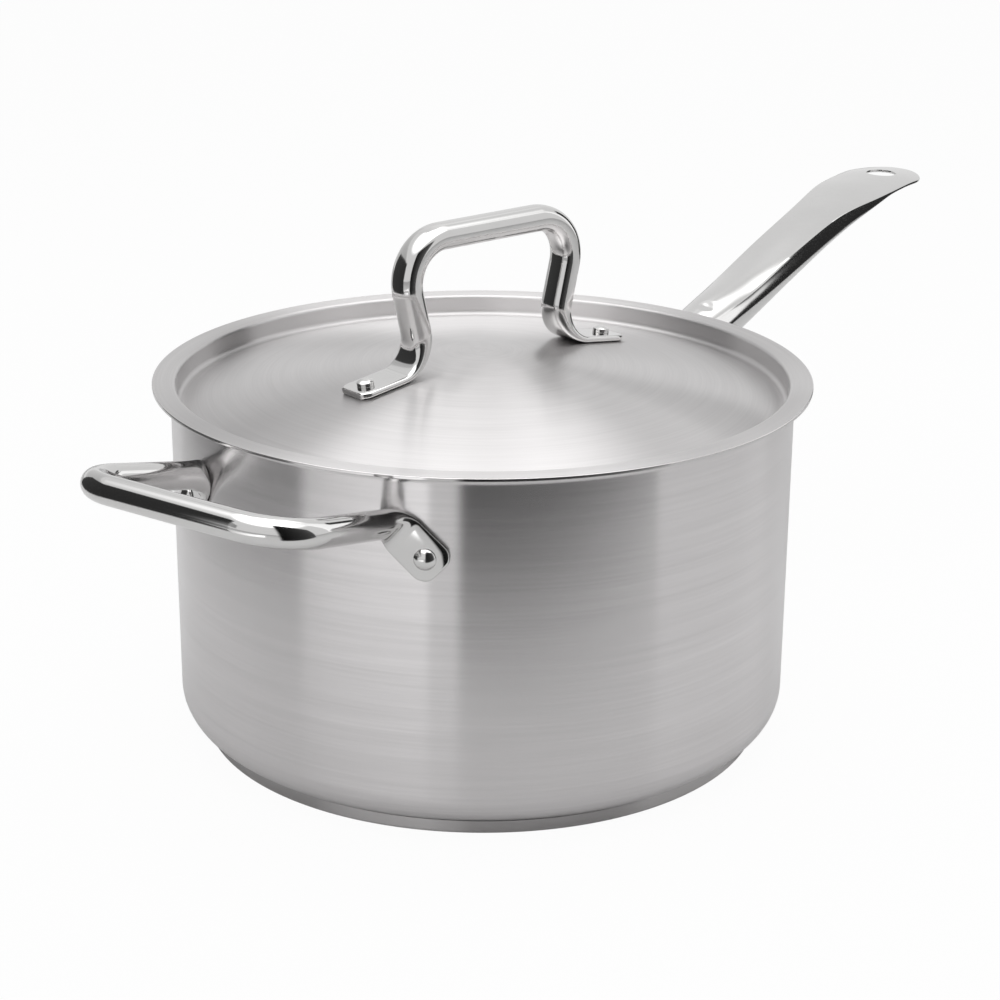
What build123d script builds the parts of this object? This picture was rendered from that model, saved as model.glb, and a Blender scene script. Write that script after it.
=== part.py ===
"""A lidded saucepan: a drawn steel pan on a capsule base, with a long tube handle, a helper
handle and a dished steel lid that lifts off by its own bow handle.

The origin is the middle of the underside, +Z is up and +X runs along the long handle.
"""

import os
from math import asin, atan, cos, pi, radians, sin, tan

from build123d import *

os.makedirs("parts", exist_ok=True)

# Pan shell, millimetres throughout
pan_radius = 121.0  # outside of the straight wall
pan_wall = 1.0
rim_height = 142.0  # top of the pouring rim above the worktop
rim_reach = 3.5  # how far the rim stands out past the wall
rim_bend = 1.5  # inside radius of the rim's flare
corner_radius = 13.5  # outside radius between the wall and the bottom

# Capsule base
base_height = 5.2
base_inset = 9.5  # from the pan's wall in to the cap
cap_sheet = 0.6
cap_bend = 0.6  # inside radius of the cap's edge
core_clearance = 0.05

# Lid shell
lid_sheet = 0.7
lid_seat_gap = 0.1  # between the flange and the pan's rim
lid_clearance = 0.5  # between the lid's skirt and the inside of the pan
flange_overhang = 3.4  # past the pan's rim
skirt_depth = 8.5  # from the top of the flange to the gutter
skirt_bend = 0.7  # inside radius between the flange and the skirt
gutter_bend = 2.0  # where the skirt turns into the gutter
gutter_width = 3.3
gutter_blend = 6.0  # where the gutter turns up into the dome
dome_rise = 11.2  # tip of the dome above the flange
dome_margin = 14.4  # the dome is a shallow cone to this far past the lugs of the bow
shoulder_slope = 14.5  # degrees, from the gutter up to the cone
shoulder_blend = 250.0

# Lid handle, an oval tube bent into a bow
lid_turn = -13.6  # degrees from the long handle to the bow
bow_offset = 2.6  # the bow stands this far off the lid's middle, along its own length
bow_tube_width = 13.0  # across the bow
bow_tube_depth = 10.1  # in the plane of the bow
bow_height = 46.1  # middle of the grip above the dome's tip
bow_grip_half = 44.7
bow_grip_bend = 16.4
bow_waist_half = 32.6  # where the legs meet the lid
bow_waist_bend = 13.4
bow_rivet_run = 27.4  # from the waist to a rivet
bow_lug_margin = 7.0  # from a rivet to the tip of its lug
bow_lug_width = 15.8
bow_lug_end_width = 12.6
bow_lug_chamfer = 3.2

# Helper handle, a round tube bent into a loop
loop_tube = 10.6
loop_reach = 54.8  # middle of the grip past the pan's wall
loop_grip_drop = 4.8  # below the rim, as the other drops are
loop_grip_half = 48.1
loop_grip_bend = 18.2
loop_foot_arc = 43.9  # along the wall, from the loop's middle to where an arm meets it
loop_foot_drop = 18.8
loop_foot_bend = 11.0
loop_lug_run = 17.1  # along the wall, from the foot of an arm to the tip of its lug
loop_lug_fall = 16.8
loop_rivet_inset = 7.0  # from the tip of a lug
loop_lug_width = 16.2
loop_lug_end_width = 8.6
loop_lug_chamfer = 4.0

# Long handle, a tube pressed flat at both ends
grip_tube = 23.8
grip_tube_wall = 1.6
grip_root_drop = 31.5  # from the rim to where the middle of the tube would meet the wall
grip_root_bend = 10.0
grip_knee_reach = 189.0  # past the wall
grip_knee_rise = 23.8  # above the rim
grip_knee_bend = 260.0
grip_end_fall = 3.2  # degrees, from the knee to the end
grip_hole_run = 29.2  # from the knee to the middle of the hanging hole
grip_hole_radius = 7.3
grip_end_length = 21.0  # rounded end past the middle of the hole
grip_end_width = 36.6
grip_full_reach = 35.0  # past the wall, where the tube has its full section
grip_flat_margin = 15.0  # before the hole, where the tube is wholly flat
grip_hollow_margin = 47.2  # before the hole, where the bore of the tube closes
grip_rivet_drop = 16.0  # from the root to the upper pair of rivets
grip_rivet_pitch = 14.0  # from the upper pair down to the lower one
grip_rivet_spread = 9.5  # half the spacing of the upper pair
grip_lug_margin = 10.0  # from the lower rivet to the tip of the lug
grip_lug_width = 35.0
grip_lug_end_width = 20.0
grip_lug_chamfer = 7.0

# Lugs and rivets
tube_wall = 1.3  # of the bow and the loop
seat_gap = 0.05  # between a lug and the sheet that it is riveted to
shank_clearance = 0.05
back_clearance = 0.08  # between a flat head and the curved sheet behind it
pan_rivet_head = 4.0  # radius
pan_rivet_shank = 2.5
lid_rivet_head = 3.3
lid_rivet_shank = 2.0
rivet_crown = 2.5  # height of the domed head
rivet_rim = 1.0  # straight side below the dome
rivet_back = 1.0  # thickness of the flat head behind
drill_reach = 12.0  # length of a drilled hole each way from its seat

# How tubes are drawn
squash_points = 24  # round a section
flat_squareness = 1.6  # how square a section becomes as it is pressed flat
press_steps = 4
grip_steps = 8
halvings = 40

# Levels, radii and thicknesses that follow
pan_inside = pan_radius - pan_wall
rim_radius = pan_radius + rim_reach
cap_radius = pan_radius - base_inset
flange_radius = rim_radius + flange_overhang
flange_top = rim_height + lid_seat_gap + lid_sheet
gutter_level = flange_top - skirt_depth
skirt_inside = pan_inside - lid_clearance - lid_sheet
gutter_foot = skirt_inside - gutter_width
bow_rivet_reach = bow_waist_half + bow_rivet_run
bow_lug_reach = bow_rivet_reach + bow_lug_margin
dome_tip = flange_top + dome_rise
cone_radius = bow_lug_reach + bow_offset + dome_margin
cone_foot = gutter_level + (gutter_foot - cone_radius) * tan(radians(shoulder_slope))
cone_slope = (dome_tip - cone_foot) / cone_radius
cone_tilt = atan(cone_slope)
lug_sheet = 2 * tube_wall  # two walls pressed together
lug_middle = pan_radius + seat_gap + lug_sheet / 2
grip_flat = 2 * grip_tube_wall
grip_wall_middle = pan_radius + seat_gap + grip_flat / 2
grip_root_height = rim_height - grip_root_drop
grip_lug_depth = grip_rivet_drop + grip_rivet_pitch + grip_lug_margin
grip_knee_radius = pan_radius + grip_knee_reach
grip_knee_height = rim_height + grip_knee_rise
grip_hole_reach = grip_knee_radius + grip_hole_run


def squashed_tube(plane: Plane, width: float, height: float, wrap: float = 0.0) -> Sketch:
    """Draw a tube's outline on a plane, round or pressed flat, and wrapped to a curvature."""
    squareness = 2 / (2 + flat_squareness * (1 - height / width))
    outline = []
    for step in range(squash_points):
        turn = 2 * pi * step / squash_points
        across = abs(cos(turn)) ** squareness * (1 if cos(turn) >= 0 else -1)
        through = abs(sin(turn)) ** squareness * (1 if sin(turn) >= 0 else -1)
        reach = width / 2 * across
        outline.append((reach, height / 2 * through + wrap * reach * reach / 2))
    with BuildSketch(plane) as section:
        with BuildLine():
            Spline(*outline, periodic=True)
        make_face()
    return section.sketch


def eased(share: float) -> float:
    """Ease a share from nought to one, level at both ends."""
    return share * share * (3 - 2 * share)


def rivet(seat: Plane, grip: float, head: float, shank: float) -> Part:
    """Make a domed rivet on a seat that faces out, holding a thickness of metal below it."""
    dome = rivet_crown - rivet_rim
    ball = (head * head + dome * dome) / (2 * dome)
    half_turn = asin(head / ball) / 2
    with BuildPart() as pin:
        with BuildSketch(Plane(seat.origin, x_dir=seat.x_dir, z_dir=-seat.y_dir)):
            with BuildLine():
                Line((0, rivet_crown), (0, -grip - rivet_back))
                Polyline(
                    (0, -grip - rivet_back),
                    (head, -grip - rivet_back),
                    (head, -grip),
                    (shank, -grip),
                    (shank, 0),
                    (head, 0),
                    (head, rivet_rim),
                )
                ThreePointArc(
                    (head, rivet_rim),
                    (ball * sin(half_turn), rivet_crown - ball * (1 - cos(half_turn))),
                    (0, rivet_crown),
                )
            make_face()
        revolve(axis=Axis(seat.origin, seat.z_dir))
    return pin.part


def wall_point(radius: float, arc: float, height: float) -> Vector:
    """Find a point on the pan's wall, at an arc length along it from the -X side."""
    turn = arc / pan_radius
    return Vector(-radius * cos(turn), radius * sin(turn), height)


def dome_height(reach: float) -> float:
    """Give the height of the lid's cone at a distance from its middle."""
    return dome_tip - cone_slope * abs(reach)


def bow_point(reach: float) -> tuple[float, float]:
    """Give the middle of a lug pressed on the lid, at a reach along the bow from its middle."""
    along = reach + bow_offset
    return along, dome_height(along) + (seat_gap + lug_sheet / 2) / cos(cone_tilt)


# Paths of the three handles
bow_plane = Plane(
    (0, 0, 0),
    x_dir=(cos(radians(lid_turn)), sin(radians(lid_turn)), 0),
    z_dir=(sin(radians(lid_turn)), -cos(radians(lid_turn)), 0),
)
bow_grip_level = dome_tip + bow_height
with BuildLine(bow_plane) as bow_path:
    FilletPolyline(
        bow_point(bow_lug_reach),
        bow_point(bow_waist_half),
        (bow_offset + bow_grip_half, bow_grip_level),
        (bow_offset - bow_grip_half, bow_grip_level),
        bow_point(-bow_waist_half),
        bow_point(-bow_lug_reach),
        radius=(bow_waist_bend, bow_grip_bend, bow_grip_bend, bow_waist_bend),
    )
bow_edges = bow_path.wire().order_edges()

loop_foot_height = rim_height - loop_foot_drop
loop_foot = wall_point(lug_middle, loop_foot_arc, loop_foot_height)
loop_tip = wall_point(lug_middle, loop_foot_arc + loop_lug_run, loop_foot_height - loop_lug_fall)
loop_corner = Vector(-pan_radius - loop_reach, loop_grip_half, rim_height - loop_grip_drop)
with BuildLine() as loop_path:
    FilletPolyline(
        loop_tip,
        loop_foot,
        loop_corner,
        Vector(loop_corner.X, -loop_corner.Y, loop_corner.Z),
        Vector(loop_foot.X, -loop_foot.Y, loop_foot.Z),
        Vector(loop_tip.X, -loop_tip.Y, loop_tip.Z),
        radius=(loop_foot_bend, loop_grip_bend, loop_grip_bend, loop_foot_bend),
    )
loop_edges = loop_path.wire().order_edges()
loop_rivet_at = loop_tip + (loop_foot - loop_tip).normalized() * loop_rivet_inset

# The line of the long handle runs past its end, which is trimmed round later
grip_end_run = grip_hole_run + 2 * grip_end_length
with BuildLine(Plane.XZ) as grip_path:
    FilletPolyline(
        (grip_wall_middle, grip_root_height - grip_lug_depth),
        (grip_wall_middle, grip_root_height),
        (grip_knee_radius, grip_knee_height),
        (grip_knee_radius + grip_end_run, grip_knee_height - grip_end_run * tan(radians(grip_end_fall))),
        radius=(grip_root_bend, grip_knee_bend),
    )
grip_edges = grip_path.wire().order_edges()


def radial_seat(direction: Vector, radius: float, height: float) -> Plane:
    """Give a plane that faces out from the pan's axis in a direction."""
    out = Vector(direction.X, direction.Y, 0).normalized()
    return Plane(out * radius + Vector(0, 0, height), x_dir=(0, 0, 1), z_dir=out)


def lid_seat(side: int, level: float) -> Plane:
    """Give a plane square to a lug on the lid, a distance above the dome."""
    along = side * bow_rivet_reach + bow_offset
    up = bow_plane.x_dir * (sin(cone_tilt) * side) + Vector(0, 0, cos(cone_tilt))
    return Plane(
        bow_plane.from_local_coords((along, dome_height(along), 0)) + up * level,
        x_dir=bow_plane.z_dir,
        z_dir=up,
    )


# Seats of the rivets, on the outer face of each lug
loop_head_level = pan_radius + seat_gap + lug_sheet
loop_rivet_side = Vector(loop_rivet_at.X, -loop_rivet_at.Y, loop_rivet_at.Z)
loop_seats = {
    "left": radial_seat(loop_rivet_at, loop_head_level, loop_rivet_at.Z),
    "right": radial_seat(loop_rivet_side, loop_head_level, loop_rivet_at.Z),
}
grip_head_level = pan_radius + seat_gap + grip_flat
grip_rivet_turn = grip_rivet_spread / grip_head_level
grip_upper_level = grip_root_height - grip_rivet_drop
grip_lower_level = grip_upper_level - grip_rivet_pitch
grip_seats = {
    "upper_left": radial_seat(Vector(1, grip_rivet_turn), grip_head_level, grip_upper_level),
    "upper_right": radial_seat(Vector(1, -grip_rivet_turn), grip_head_level, grip_upper_level),
    "lower": radial_seat(Vector(1, 0), grip_head_level, grip_lower_level),
}
lid_seats = {"left": lid_seat(-1, lug_sheet + seat_gap), "right": lid_seat(1, lug_sheet + seat_gap)}
pan_hole = pan_rivet_shank + shank_clearance
lid_hole = lid_rivet_shank + shank_clearance


def drill(seats: dict[str, Plane], radius: float) -> None:
    """Drill a round hole on each seat, through the part that is being built."""
    for seat in seats.values():
        with BuildSketch(seat) as hole:
            Circle(radius)
        extrude(hole.sketch, amount=drill_reach, both=True, mode=Mode.SUBTRACT)


# Pan shell: drawn in one piece, with a flared pouring rim
with BuildPart() as pan_shell:
    with BuildSketch(Plane.XZ):
        with BuildLine():
            FilletPolyline(
                (0, base_height),
                (pan_radius, base_height),
                (pan_radius, rim_height - pan_wall),
                (rim_radius, rim_height - pan_wall),
                radius=(corner_radius, rim_bend),
            )
            Line((rim_radius, rim_height - pan_wall), (rim_radius, rim_height))
            FilletPolyline(
                (rim_radius, rim_height),
                (pan_inside, rim_height),
                (pan_inside, base_height + pan_wall),
                (0, base_height + pan_wall),
                radius=(rim_bend + pan_wall, corner_radius - pan_wall),
            )
            Line((0, base_height + pan_wall), (0, base_height))
        make_face()
    revolve(axis=Axis.Z)
    drill(loop_seats, pan_hole)
    drill(grip_seats, pan_hole)
pan_shell.part.label = "pan_shell"
export_step(pan_shell.part, "parts/pan_shell.step")

# Capsule base: an aluminium disc held under the pan by a steel cap
core_radius = cap_radius - cap_sheet - core_clearance
with BuildPart() as base_core:
    with BuildSketch(Plane.XY.offset(cap_sheet)):
        Circle(core_radius)
    extrude(amount=base_height - cap_sheet)
    fillet(base_core.edges().sort_by(Axis.Z)[0], cap_bend)
base_core.part.label = "base_core"
export_step(base_core.part, "parts/base_core.step")

with BuildPart() as base_cap:
    with BuildSketch(Plane.XZ):
        with BuildLine():
            FilletPolyline(
                (0, 0),
                (cap_radius, 0),
                (cap_radius, base_height),
                radius=cap_bend + cap_sheet,
            )
            Line((cap_radius, base_height), (cap_radius - cap_sheet, base_height))
            FilletPolyline(
                (cap_radius - cap_sheet, base_height),
                (cap_radius - cap_sheet, cap_sheet),
                (0, cap_sheet),
                radius=cap_bend,
            )
            Line((0, cap_sheet), (0, 0))
        make_face()
    revolve(axis=Axis.Z)
base_cap.part.label = "base_cap"
export_step(base_cap.part, "parts/base_cap.step")

# Lid shell: a flat flange, a skirt that drops into the pan, a gutter and a shallow dome
with BuildPart() as lid_shell:
    with BuildSketch(Plane.XZ):
        with BuildLine():
            FilletPolyline(
                (0, dome_tip),
                (cone_radius, cone_foot),
                (gutter_foot, gutter_level),
                (skirt_inside, gutter_level),
                (skirt_inside, flange_top),
                (flange_radius, flange_top),
                radius=(shoulder_blend, gutter_blend, gutter_bend, skirt_bend + lid_sheet),
            )
            Line((flange_radius, flange_top), (flange_radius, flange_top - lid_sheet))
            FilletPolyline(
                (flange_radius, flange_top - lid_sheet),
                (skirt_inside + lid_sheet, flange_top - lid_sheet),
                (skirt_inside + lid_sheet, gutter_level - lid_sheet),
                (gutter_foot, gutter_level - lid_sheet),
                (cone_radius, cone_foot - lid_sheet),
                (0, dome_tip - lid_sheet),
                radius=(
                    skirt_bend,
                    gutter_bend + lid_sheet,
                    gutter_blend + lid_sheet,
                    shoulder_blend - lid_sheet,
                ),
            )
            Line((0, dome_tip - lid_sheet), (0, dome_tip))
        make_face()
    revolve(axis=Axis.Z)
    drill(lid_seats, lid_hole)
lid_shell.part.label = "lid_shell"
export_step(lid_shell.part, "parts/lid_shell.step")


def clipped_lug(lug: Edge, across: Vector, flat: tuple, wrap: float = 0.0) -> None:
    """Make a flat lug with clipped corners, from its tip to where the tube is bent."""
    flat_width, flat_depth, end_width, chamfer = flat
    clip = chamfer / lug.length
    sections = []
    for share, width in ((1.0, flat_width), (clip, flat_width), (0.0, end_width)):
        plane = Plane(lug @ share, x_dir=across, z_dir=lug % share)
        sections.append(squashed_tube(plane, width, flat_depth, wrap))
    loft(sections, ruled=True)


def pressed_lug(lug: Edge, bend: Edge, across: Vector, tube: tuple, flat: tuple) -> None:
    """Press the end of a tube flat through a bend, and clip the corners of its lug.

    The lug runs from its tip to the bend, and the bend from the lug to the tube.
    """
    tube_width, tube_depth = tube
    flat_width, flat_depth = flat[:2]
    with BuildSketch(Plane(bend @ 1, x_dir=across, z_dir=bend % 1)) as tube_end:
        Ellipse(tube_width / 2, tube_depth / 2)
    sections = [tube_end.sketch]
    for step in range(1, press_steps + 1):
        share = step / press_steps
        pressed = eased(share)
        sections.append(
            squashed_tube(
                Plane(bend @ (1 - share), x_dir=across, z_dir=bend % (1 - share)),
                tube_width + (flat_width - tube_width) * pressed,
                tube_depth + (flat_depth - tube_depth) * pressed,
            )
        )
    loft(sections)
    clipped_lug(lug, across, flat)


def swept_tube(run: list, across: Vector, tube: tuple, mode: Mode) -> None:
    """Sweep an oval along a run of edges, to add a tube or to take out its bore."""
    width, depth = tube
    with BuildSketch(Plane(run[0] @ 0, x_dir=across, z_dir=run[0] % 0)) as section:
        Ellipse(width / 2, depth / 2)
    sweep(section.sketch, path=Wire(run), mode=mode)


def tube_ends(edges: list) -> list:
    """Give the lug and the bend at both ends of a path, each running towards the tube."""
    return [(edges[0], edges[1]), (edges[-1].reversed(), edges[-2].reversed())]


# Lid handle: one oval tube, hollow in the grip and legs, pressed flat on the lid
bow_tube = (bow_tube_width, bow_tube_depth)
bow_bore = (bow_tube_width - 2 * tube_wall, bow_tube_depth - 2 * tube_wall)
bow_flat = (bow_lug_width, lug_sheet, bow_lug_end_width, bow_lug_chamfer)
with BuildPart() as lid_handle:
    swept_tube(bow_edges[2:-2], bow_plane.z_dir, bow_tube, Mode.ADD)
    for lug, bend in tube_ends(bow_edges):
        pressed_lug(lug, bend, bow_plane.z_dir, bow_tube, bow_flat)
    swept_tube(bow_edges[2:-2], bow_plane.z_dir, bow_bore, Mode.SUBTRACT)
    drill(lid_seats, lid_hole)
lid_handle.part.label = "lid_handle"
export_step(lid_handle.part, "parts/lid_handle.step")

# Helper handle: one round tube, pressed flat on the pan's wall
loop_round = (loop_tube, loop_tube)
loop_bore = (loop_tube - 2 * tube_wall, loop_tube - 2 * tube_wall)
loop_flat = (loop_lug_width, lug_sheet, loop_lug_end_width, loop_lug_chamfer)
loop_across = (loop_tip - loop_foot).cross(Vector(loop_rivet_at.X, loop_rivet_at.Y, 0)).normalized()
with BuildPart() as side_handle:
    pressed_lug(loop_edges[0], loop_edges[1], loop_across, loop_round, loop_flat)
    mirror(about=Plane.XZ)
    swept_tube(loop_edges[2:-2], loop_across, loop_round, Mode.ADD)
    swept_tube(loop_edges[2:-2], loop_across, loop_bore, Mode.SUBTRACT)
    with BuildSketch():
        Circle(pan_radius + seat_gap)
    extrude(amount=rim_height, mode=Mode.SUBTRACT)
    drill(loop_seats, pan_hole)
side_handle.part.label = "side_handle"
export_step(side_handle.part, "parts/side_handle.step")

# Long handle: a tube that is round near the pan and widens into a flat end with a hanging hole
grip_lug, grip_root = grip_edges[:2]
grip_line = Wire(grip_edges[2:])
grip_wrap = 1 / grip_wall_middle
grip_taper = grip_hole_reach - pan_radius - grip_full_reach
across_grip = Vector(0, 1, 0)
grip_flat_lug = (grip_lug_width, grip_flat, grip_lug_end_width, grip_lug_chamfer)


def grip_section(share: float, skin: float = 0.0) -> Sketch:
    """Draw the handle's section at a share of its line, taken in all round by a skin."""
    at = grip_line @ share
    reach = max(at.X - pan_radius - grip_full_reach, 0.0)
    spread = min(reach / grip_taper, 1.0)
    pressed = min(reach / (grip_taper - grip_flat_margin), 1.0)
    width = grip_tube + (grip_end_width - grip_tube) * spread
    depth = grip_tube + (grip_flat - grip_tube) * pressed
    plane = Plane(at, x_dir=across_grip, z_dir=grip_line % share)
    return squashed_tube(plane, width - 2 * skin, depth - 2 * skin)


def grip_share(reach: float) -> float:
    """Find the share of the handle's line at a distance from the pan's axis, by halving."""
    low, high = 0.0, 1.0
    for _ in range(halvings):
        middle = (low + high) / 2
        if (grip_line @ middle).X < reach:
            low = middle
        else:
            high = middle
    return (low + high) / 2


def grip_loft(start: float, stop: float, skin: float, mode: Mode) -> None:
    """Loft the handle's sections between two shares of its line."""
    shares = [start + (stop - start) * step / grip_steps for step in range(grip_steps + 1)]
    loft([grip_section(share, skin) for share in shares], mode=mode)


grip_full = grip_share(pan_radius + grip_full_reach)
grip_closed = grip_share(grip_hole_reach - grip_hollow_margin)
hang_share = grip_share(grip_hole_reach)
hang_line = grip_line % hang_share
hang_seat = Plane(grip_line @ hang_share, x_dir=hang_line, z_dir=hang_line.cross(across_grip))
with BuildPart() as long_handle:
    grip_loft(grip_full, 1.0, 0.0, Mode.ADD)
    neck = [grip_section(grip_full)]
    for step in range(1, press_steps):
        share = 1 - step / press_steps
        pressed = 1 - eased(share)
        plane = Plane(grip_line @ (grip_full * share), x_dir=across_grip, z_dir=grip_line % 0)
        width = grip_tube + (grip_lug_width - grip_tube) * pressed
        depth = grip_tube + (grip_flat - grip_tube) * pressed
        neck.append(squashed_tube(plane, width, depth, grip_wrap * pressed))
    for share in (1.0, 0.5, 0.0):
        plane = Plane(grip_root @ share, x_dir=across_grip, z_dir=grip_root % share)
        neck.append(squashed_tube(plane, grip_lug_width, grip_flat, grip_wrap))
    loft(neck)
    clipped_lug(grip_lug, across_grip, grip_flat_lug, grip_wrap)
    grip_loft(grip_full, grip_closed, grip_tube_wall, Mode.SUBTRACT)
    with BuildSketch():
        Circle(pan_radius + seat_gap)
    extrude(amount=rim_height, mode=Mode.SUBTRACT)
    drill(grip_seats, pan_hole)
    with BuildSketch():
        with Locations((grip_hole_reach, 0)):
            Rectangle(3 * grip_end_length, 2 * grip_end_width, align=(Align.MIN, Align.CENTER))
            Ellipse(grip_end_length, grip_end_width / 2, mode=Mode.SUBTRACT)
    extrude(amount=2 * grip_knee_height, mode=Mode.SUBTRACT)
    drill({"hang": hang_seat}, grip_hole_radius)
long_handle.part.label = "long_handle"
export_step(long_handle.part, "parts/long_handle.step")

# Rivets: each holds a lug and the sheet behind it between a domed and a flat head
pan_back_gap = back_clearance + pan_rivet_head**2 / (2 * pan_inside)
lid_back_gap = back_clearance + cone_slope * lid_rivet_head**2 / (2 * bow_rivet_reach)
loop_grip = lug_sheet + seat_gap + pan_wall + pan_back_gap
grip_grip = grip_flat + seat_gap + pan_wall + pan_back_gap
lid_grip = lug_sheet + seat_gap + lid_sheet + lid_back_gap
rivet_sets = {
    "side_handle_rivet": (loop_seats, loop_grip, pan_rivet_head, pan_rivet_shank),
    "long_handle_rivet": (grip_seats, grip_grip, pan_rivet_head, pan_rivet_shank),
    "lid_handle_rivet": (lid_seats, lid_grip, lid_rivet_head, lid_rivet_shank),
}
for family, (seats, grip, head, shank) in rivet_sets.items():
    for place, seat in seats.items():
        pin = rivet(seat, grip, head, shank)
        pin.label = f"{family}_{place}"
        export_step(pin, f"parts/{pin.label}.step")
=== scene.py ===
"""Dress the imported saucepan: brushed pan and lid, polished handles and rivets, on a pale floor."""

from __future__ import annotations

import logging
import math
from collections.abc import Sequence
from dataclasses import astuple, dataclass, field
from enum import Enum
from typing import Any, ClassVar

import bmesh
import bpy
from mathutils import Matrix, Quaternion, Vector

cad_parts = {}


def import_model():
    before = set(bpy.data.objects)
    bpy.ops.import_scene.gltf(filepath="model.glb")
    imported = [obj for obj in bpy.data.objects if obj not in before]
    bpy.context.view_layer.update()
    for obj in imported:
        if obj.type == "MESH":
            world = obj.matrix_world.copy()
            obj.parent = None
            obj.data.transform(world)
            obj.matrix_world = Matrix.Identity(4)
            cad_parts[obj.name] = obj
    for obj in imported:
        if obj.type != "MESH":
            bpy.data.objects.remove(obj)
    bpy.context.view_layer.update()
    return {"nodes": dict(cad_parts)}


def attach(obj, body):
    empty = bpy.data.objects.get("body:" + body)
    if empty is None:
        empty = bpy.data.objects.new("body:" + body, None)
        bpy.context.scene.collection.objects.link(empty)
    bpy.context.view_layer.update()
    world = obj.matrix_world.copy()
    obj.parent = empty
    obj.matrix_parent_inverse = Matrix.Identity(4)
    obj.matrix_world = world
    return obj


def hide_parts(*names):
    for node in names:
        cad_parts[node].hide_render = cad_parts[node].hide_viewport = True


LOG = logging.getLogger("saucepan")
UP = Vector((0.0, 0.0, 1.0)).freeze()
WHITE = (1.0, 1.0, 1.0, 1.0)
# Angle between two faces above which their edge stays sharp.
CREASE_ANGLE = math.radians(38.0)
# Longest step along an arc, as an angle, and along a bent tube, as a length.
ARC_ANGLE = math.radians(5.0)
TUBE_PITCH = 0.0006
# Radius below which a point of a turned outline lies on the axis.
ON_AXIS = 1e-7
# Radius at which lines in rings run as far as lines round the wall.
RING_RADIUS = 0.12

Colour = tuple[float, float, float]
Step = tuple[Vector, Vector]


class Wire:
    """One output socket, whose arithmetic adds Math nodes to its tree."""

    def __init__(self, graph: Graph, socket: bpy.types.NodeSocket) -> None:
        """Keep the tree and the socket."""
        self.graph = graph
        self.socket = socket

    def __add__(self, other: Wire | float) -> Wire:
        """Add a value or a wire."""
        return self.graph.maths("ADD", self, other)

    def __radd__(self, other: float) -> Wire:
        """Add to a value on the left."""
        return self.graph.maths("ADD", other, self)

    def __sub__(self, other: Wire | float) -> Wire:
        """Take a value or a wire away."""
        return self.graph.maths("SUBTRACT", self, other)

    def __rsub__(self, other: float) -> Wire:
        """Take this wire away from a value on the left."""
        return self.graph.maths("SUBTRACT", other, self)

    def __mul__(self, other: Wire | float) -> Wire:
        """Multiply by a value or a wire."""
        return self.graph.maths("MULTIPLY", self, other)

    def __rmul__(self, other: float) -> Wire:
        """Multiply a value on the left."""
        return self.graph.maths("MULTIPLY", other, self)

    def at_least(self, other: Wire | float) -> Wire:
        """Take the larger of this and another."""
        return self.graph.maths("MAXIMUM", self, other)


class Graph:
    """A node tree that grows by expressions and by one general node method."""

    def __init__(self, tree: bpy.types.NodeTree) -> None:
        """Start from an empty tree."""
        self.tree = tree
        tree.nodes.clear()

    def node(
        self, kind: str, settings: dict[str, Any], sockets: dict[Any, Any], output: Any = 0
    ) -> Wire:
        """Add a node of any type.

        Args:
            kind: Blender's name of the node's type.
            settings: Properties that are set first.
            sockets: Values or wires of its inputs, by name or by number.
            output: Name or number of the output that is wanted.

        Returns:
            The wire of that output.
        """
        made = self.tree.nodes.new(kind)
        for name, value in settings.items():
            setattr(made, name, value)
        for name, value in sockets.items():
            if isinstance(value, Wire):
                self.tree.links.new(value.socket, made.inputs[name])
            else:
                made.inputs[name].default_value = value
        return Wire(self, made.outputs[output] if len(made.outputs) else made.inputs[0])

    def maths(self, operation: str, *values: Wire | float) -> Wire:
        """Add a Math node on values or wires."""
        return self.node("ShaderNodeMath", {"operation": operation}, dict(enumerate(values)))

    def vector_maths(self, operation: str, *values: Any, output: Any = 0) -> Wire:
        """Add a Vector Math node on vectors or wires."""
        sockets = dict(enumerate(values))
        return self.node("ShaderNodeVectorMath", {"operation": operation}, sockets, output)

    def mix_colours(self, share: Wire, low: Colour, high: Colour) -> Wire:
        """Mix two colours by a share."""
        sockets = {0: share, 6: (*low, 1.0), 7: (*high, 1.0)}
        return self.node("ShaderNodeMix", {"data_type": "RGBA"}, sockets, 2)

    def noise(self, place: Wire, scale: float, detail: float, harshness: float) -> Wire:
        """Read a soft noise between nought and one at a place."""
        sockets = {"Vector": place, "Scale": scale, "Detail": detail, "Roughness": harshness}
        return self.node("ShaderNodeTexNoise", {"noise_dimensions": "3D"}, sockets, "Fac")

    def bump(self, height: Wire, strength: float, distance: float) -> Wire:
        """Turn a height into a normal."""
        sockets = {"Strength": strength, "Distance": distance, "Height": height}
        return self.node("ShaderNodeBump", {}, sockets)

    def object_place(self) -> Wire:
        """Read the place on the object, in metres."""
        return self.node("ShaderNodeTexCoord", {}, {}, "Object")

    def ramp(self, value: Wire, places: tuple[float, float], levels: tuple[float, float]) -> Wire:
        """Lead smoothly from one level to another between two places.

        Args:
            value: The wire that runs past the places.
            places: Where the change begins and ends.
            levels: The result before it and after it.

        Returns:
            The wire of the result.
        """
        sockets = {"Value": value, "From Min": places[0], "From Max": places[1]}
        sockets |= {"To Min": levels[0], "To Max": levels[1]}
        return self.node("ShaderNodeMapRange", {"interpolation_type": "SMOOTHSTEP"}, sockets)

    def level_place(self) -> Wire:
        """Read the place on the object with its height left out."""
        return self.vector_maths("MULTIPLY", self.object_place(), (1.0, 1.0, 0.0))

    def reach(self) -> Wire:
        """Read the distance from the object's upright axis, in metres."""
        return self.vector_maths("LENGTH", self.level_place(), output="Value")


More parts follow.
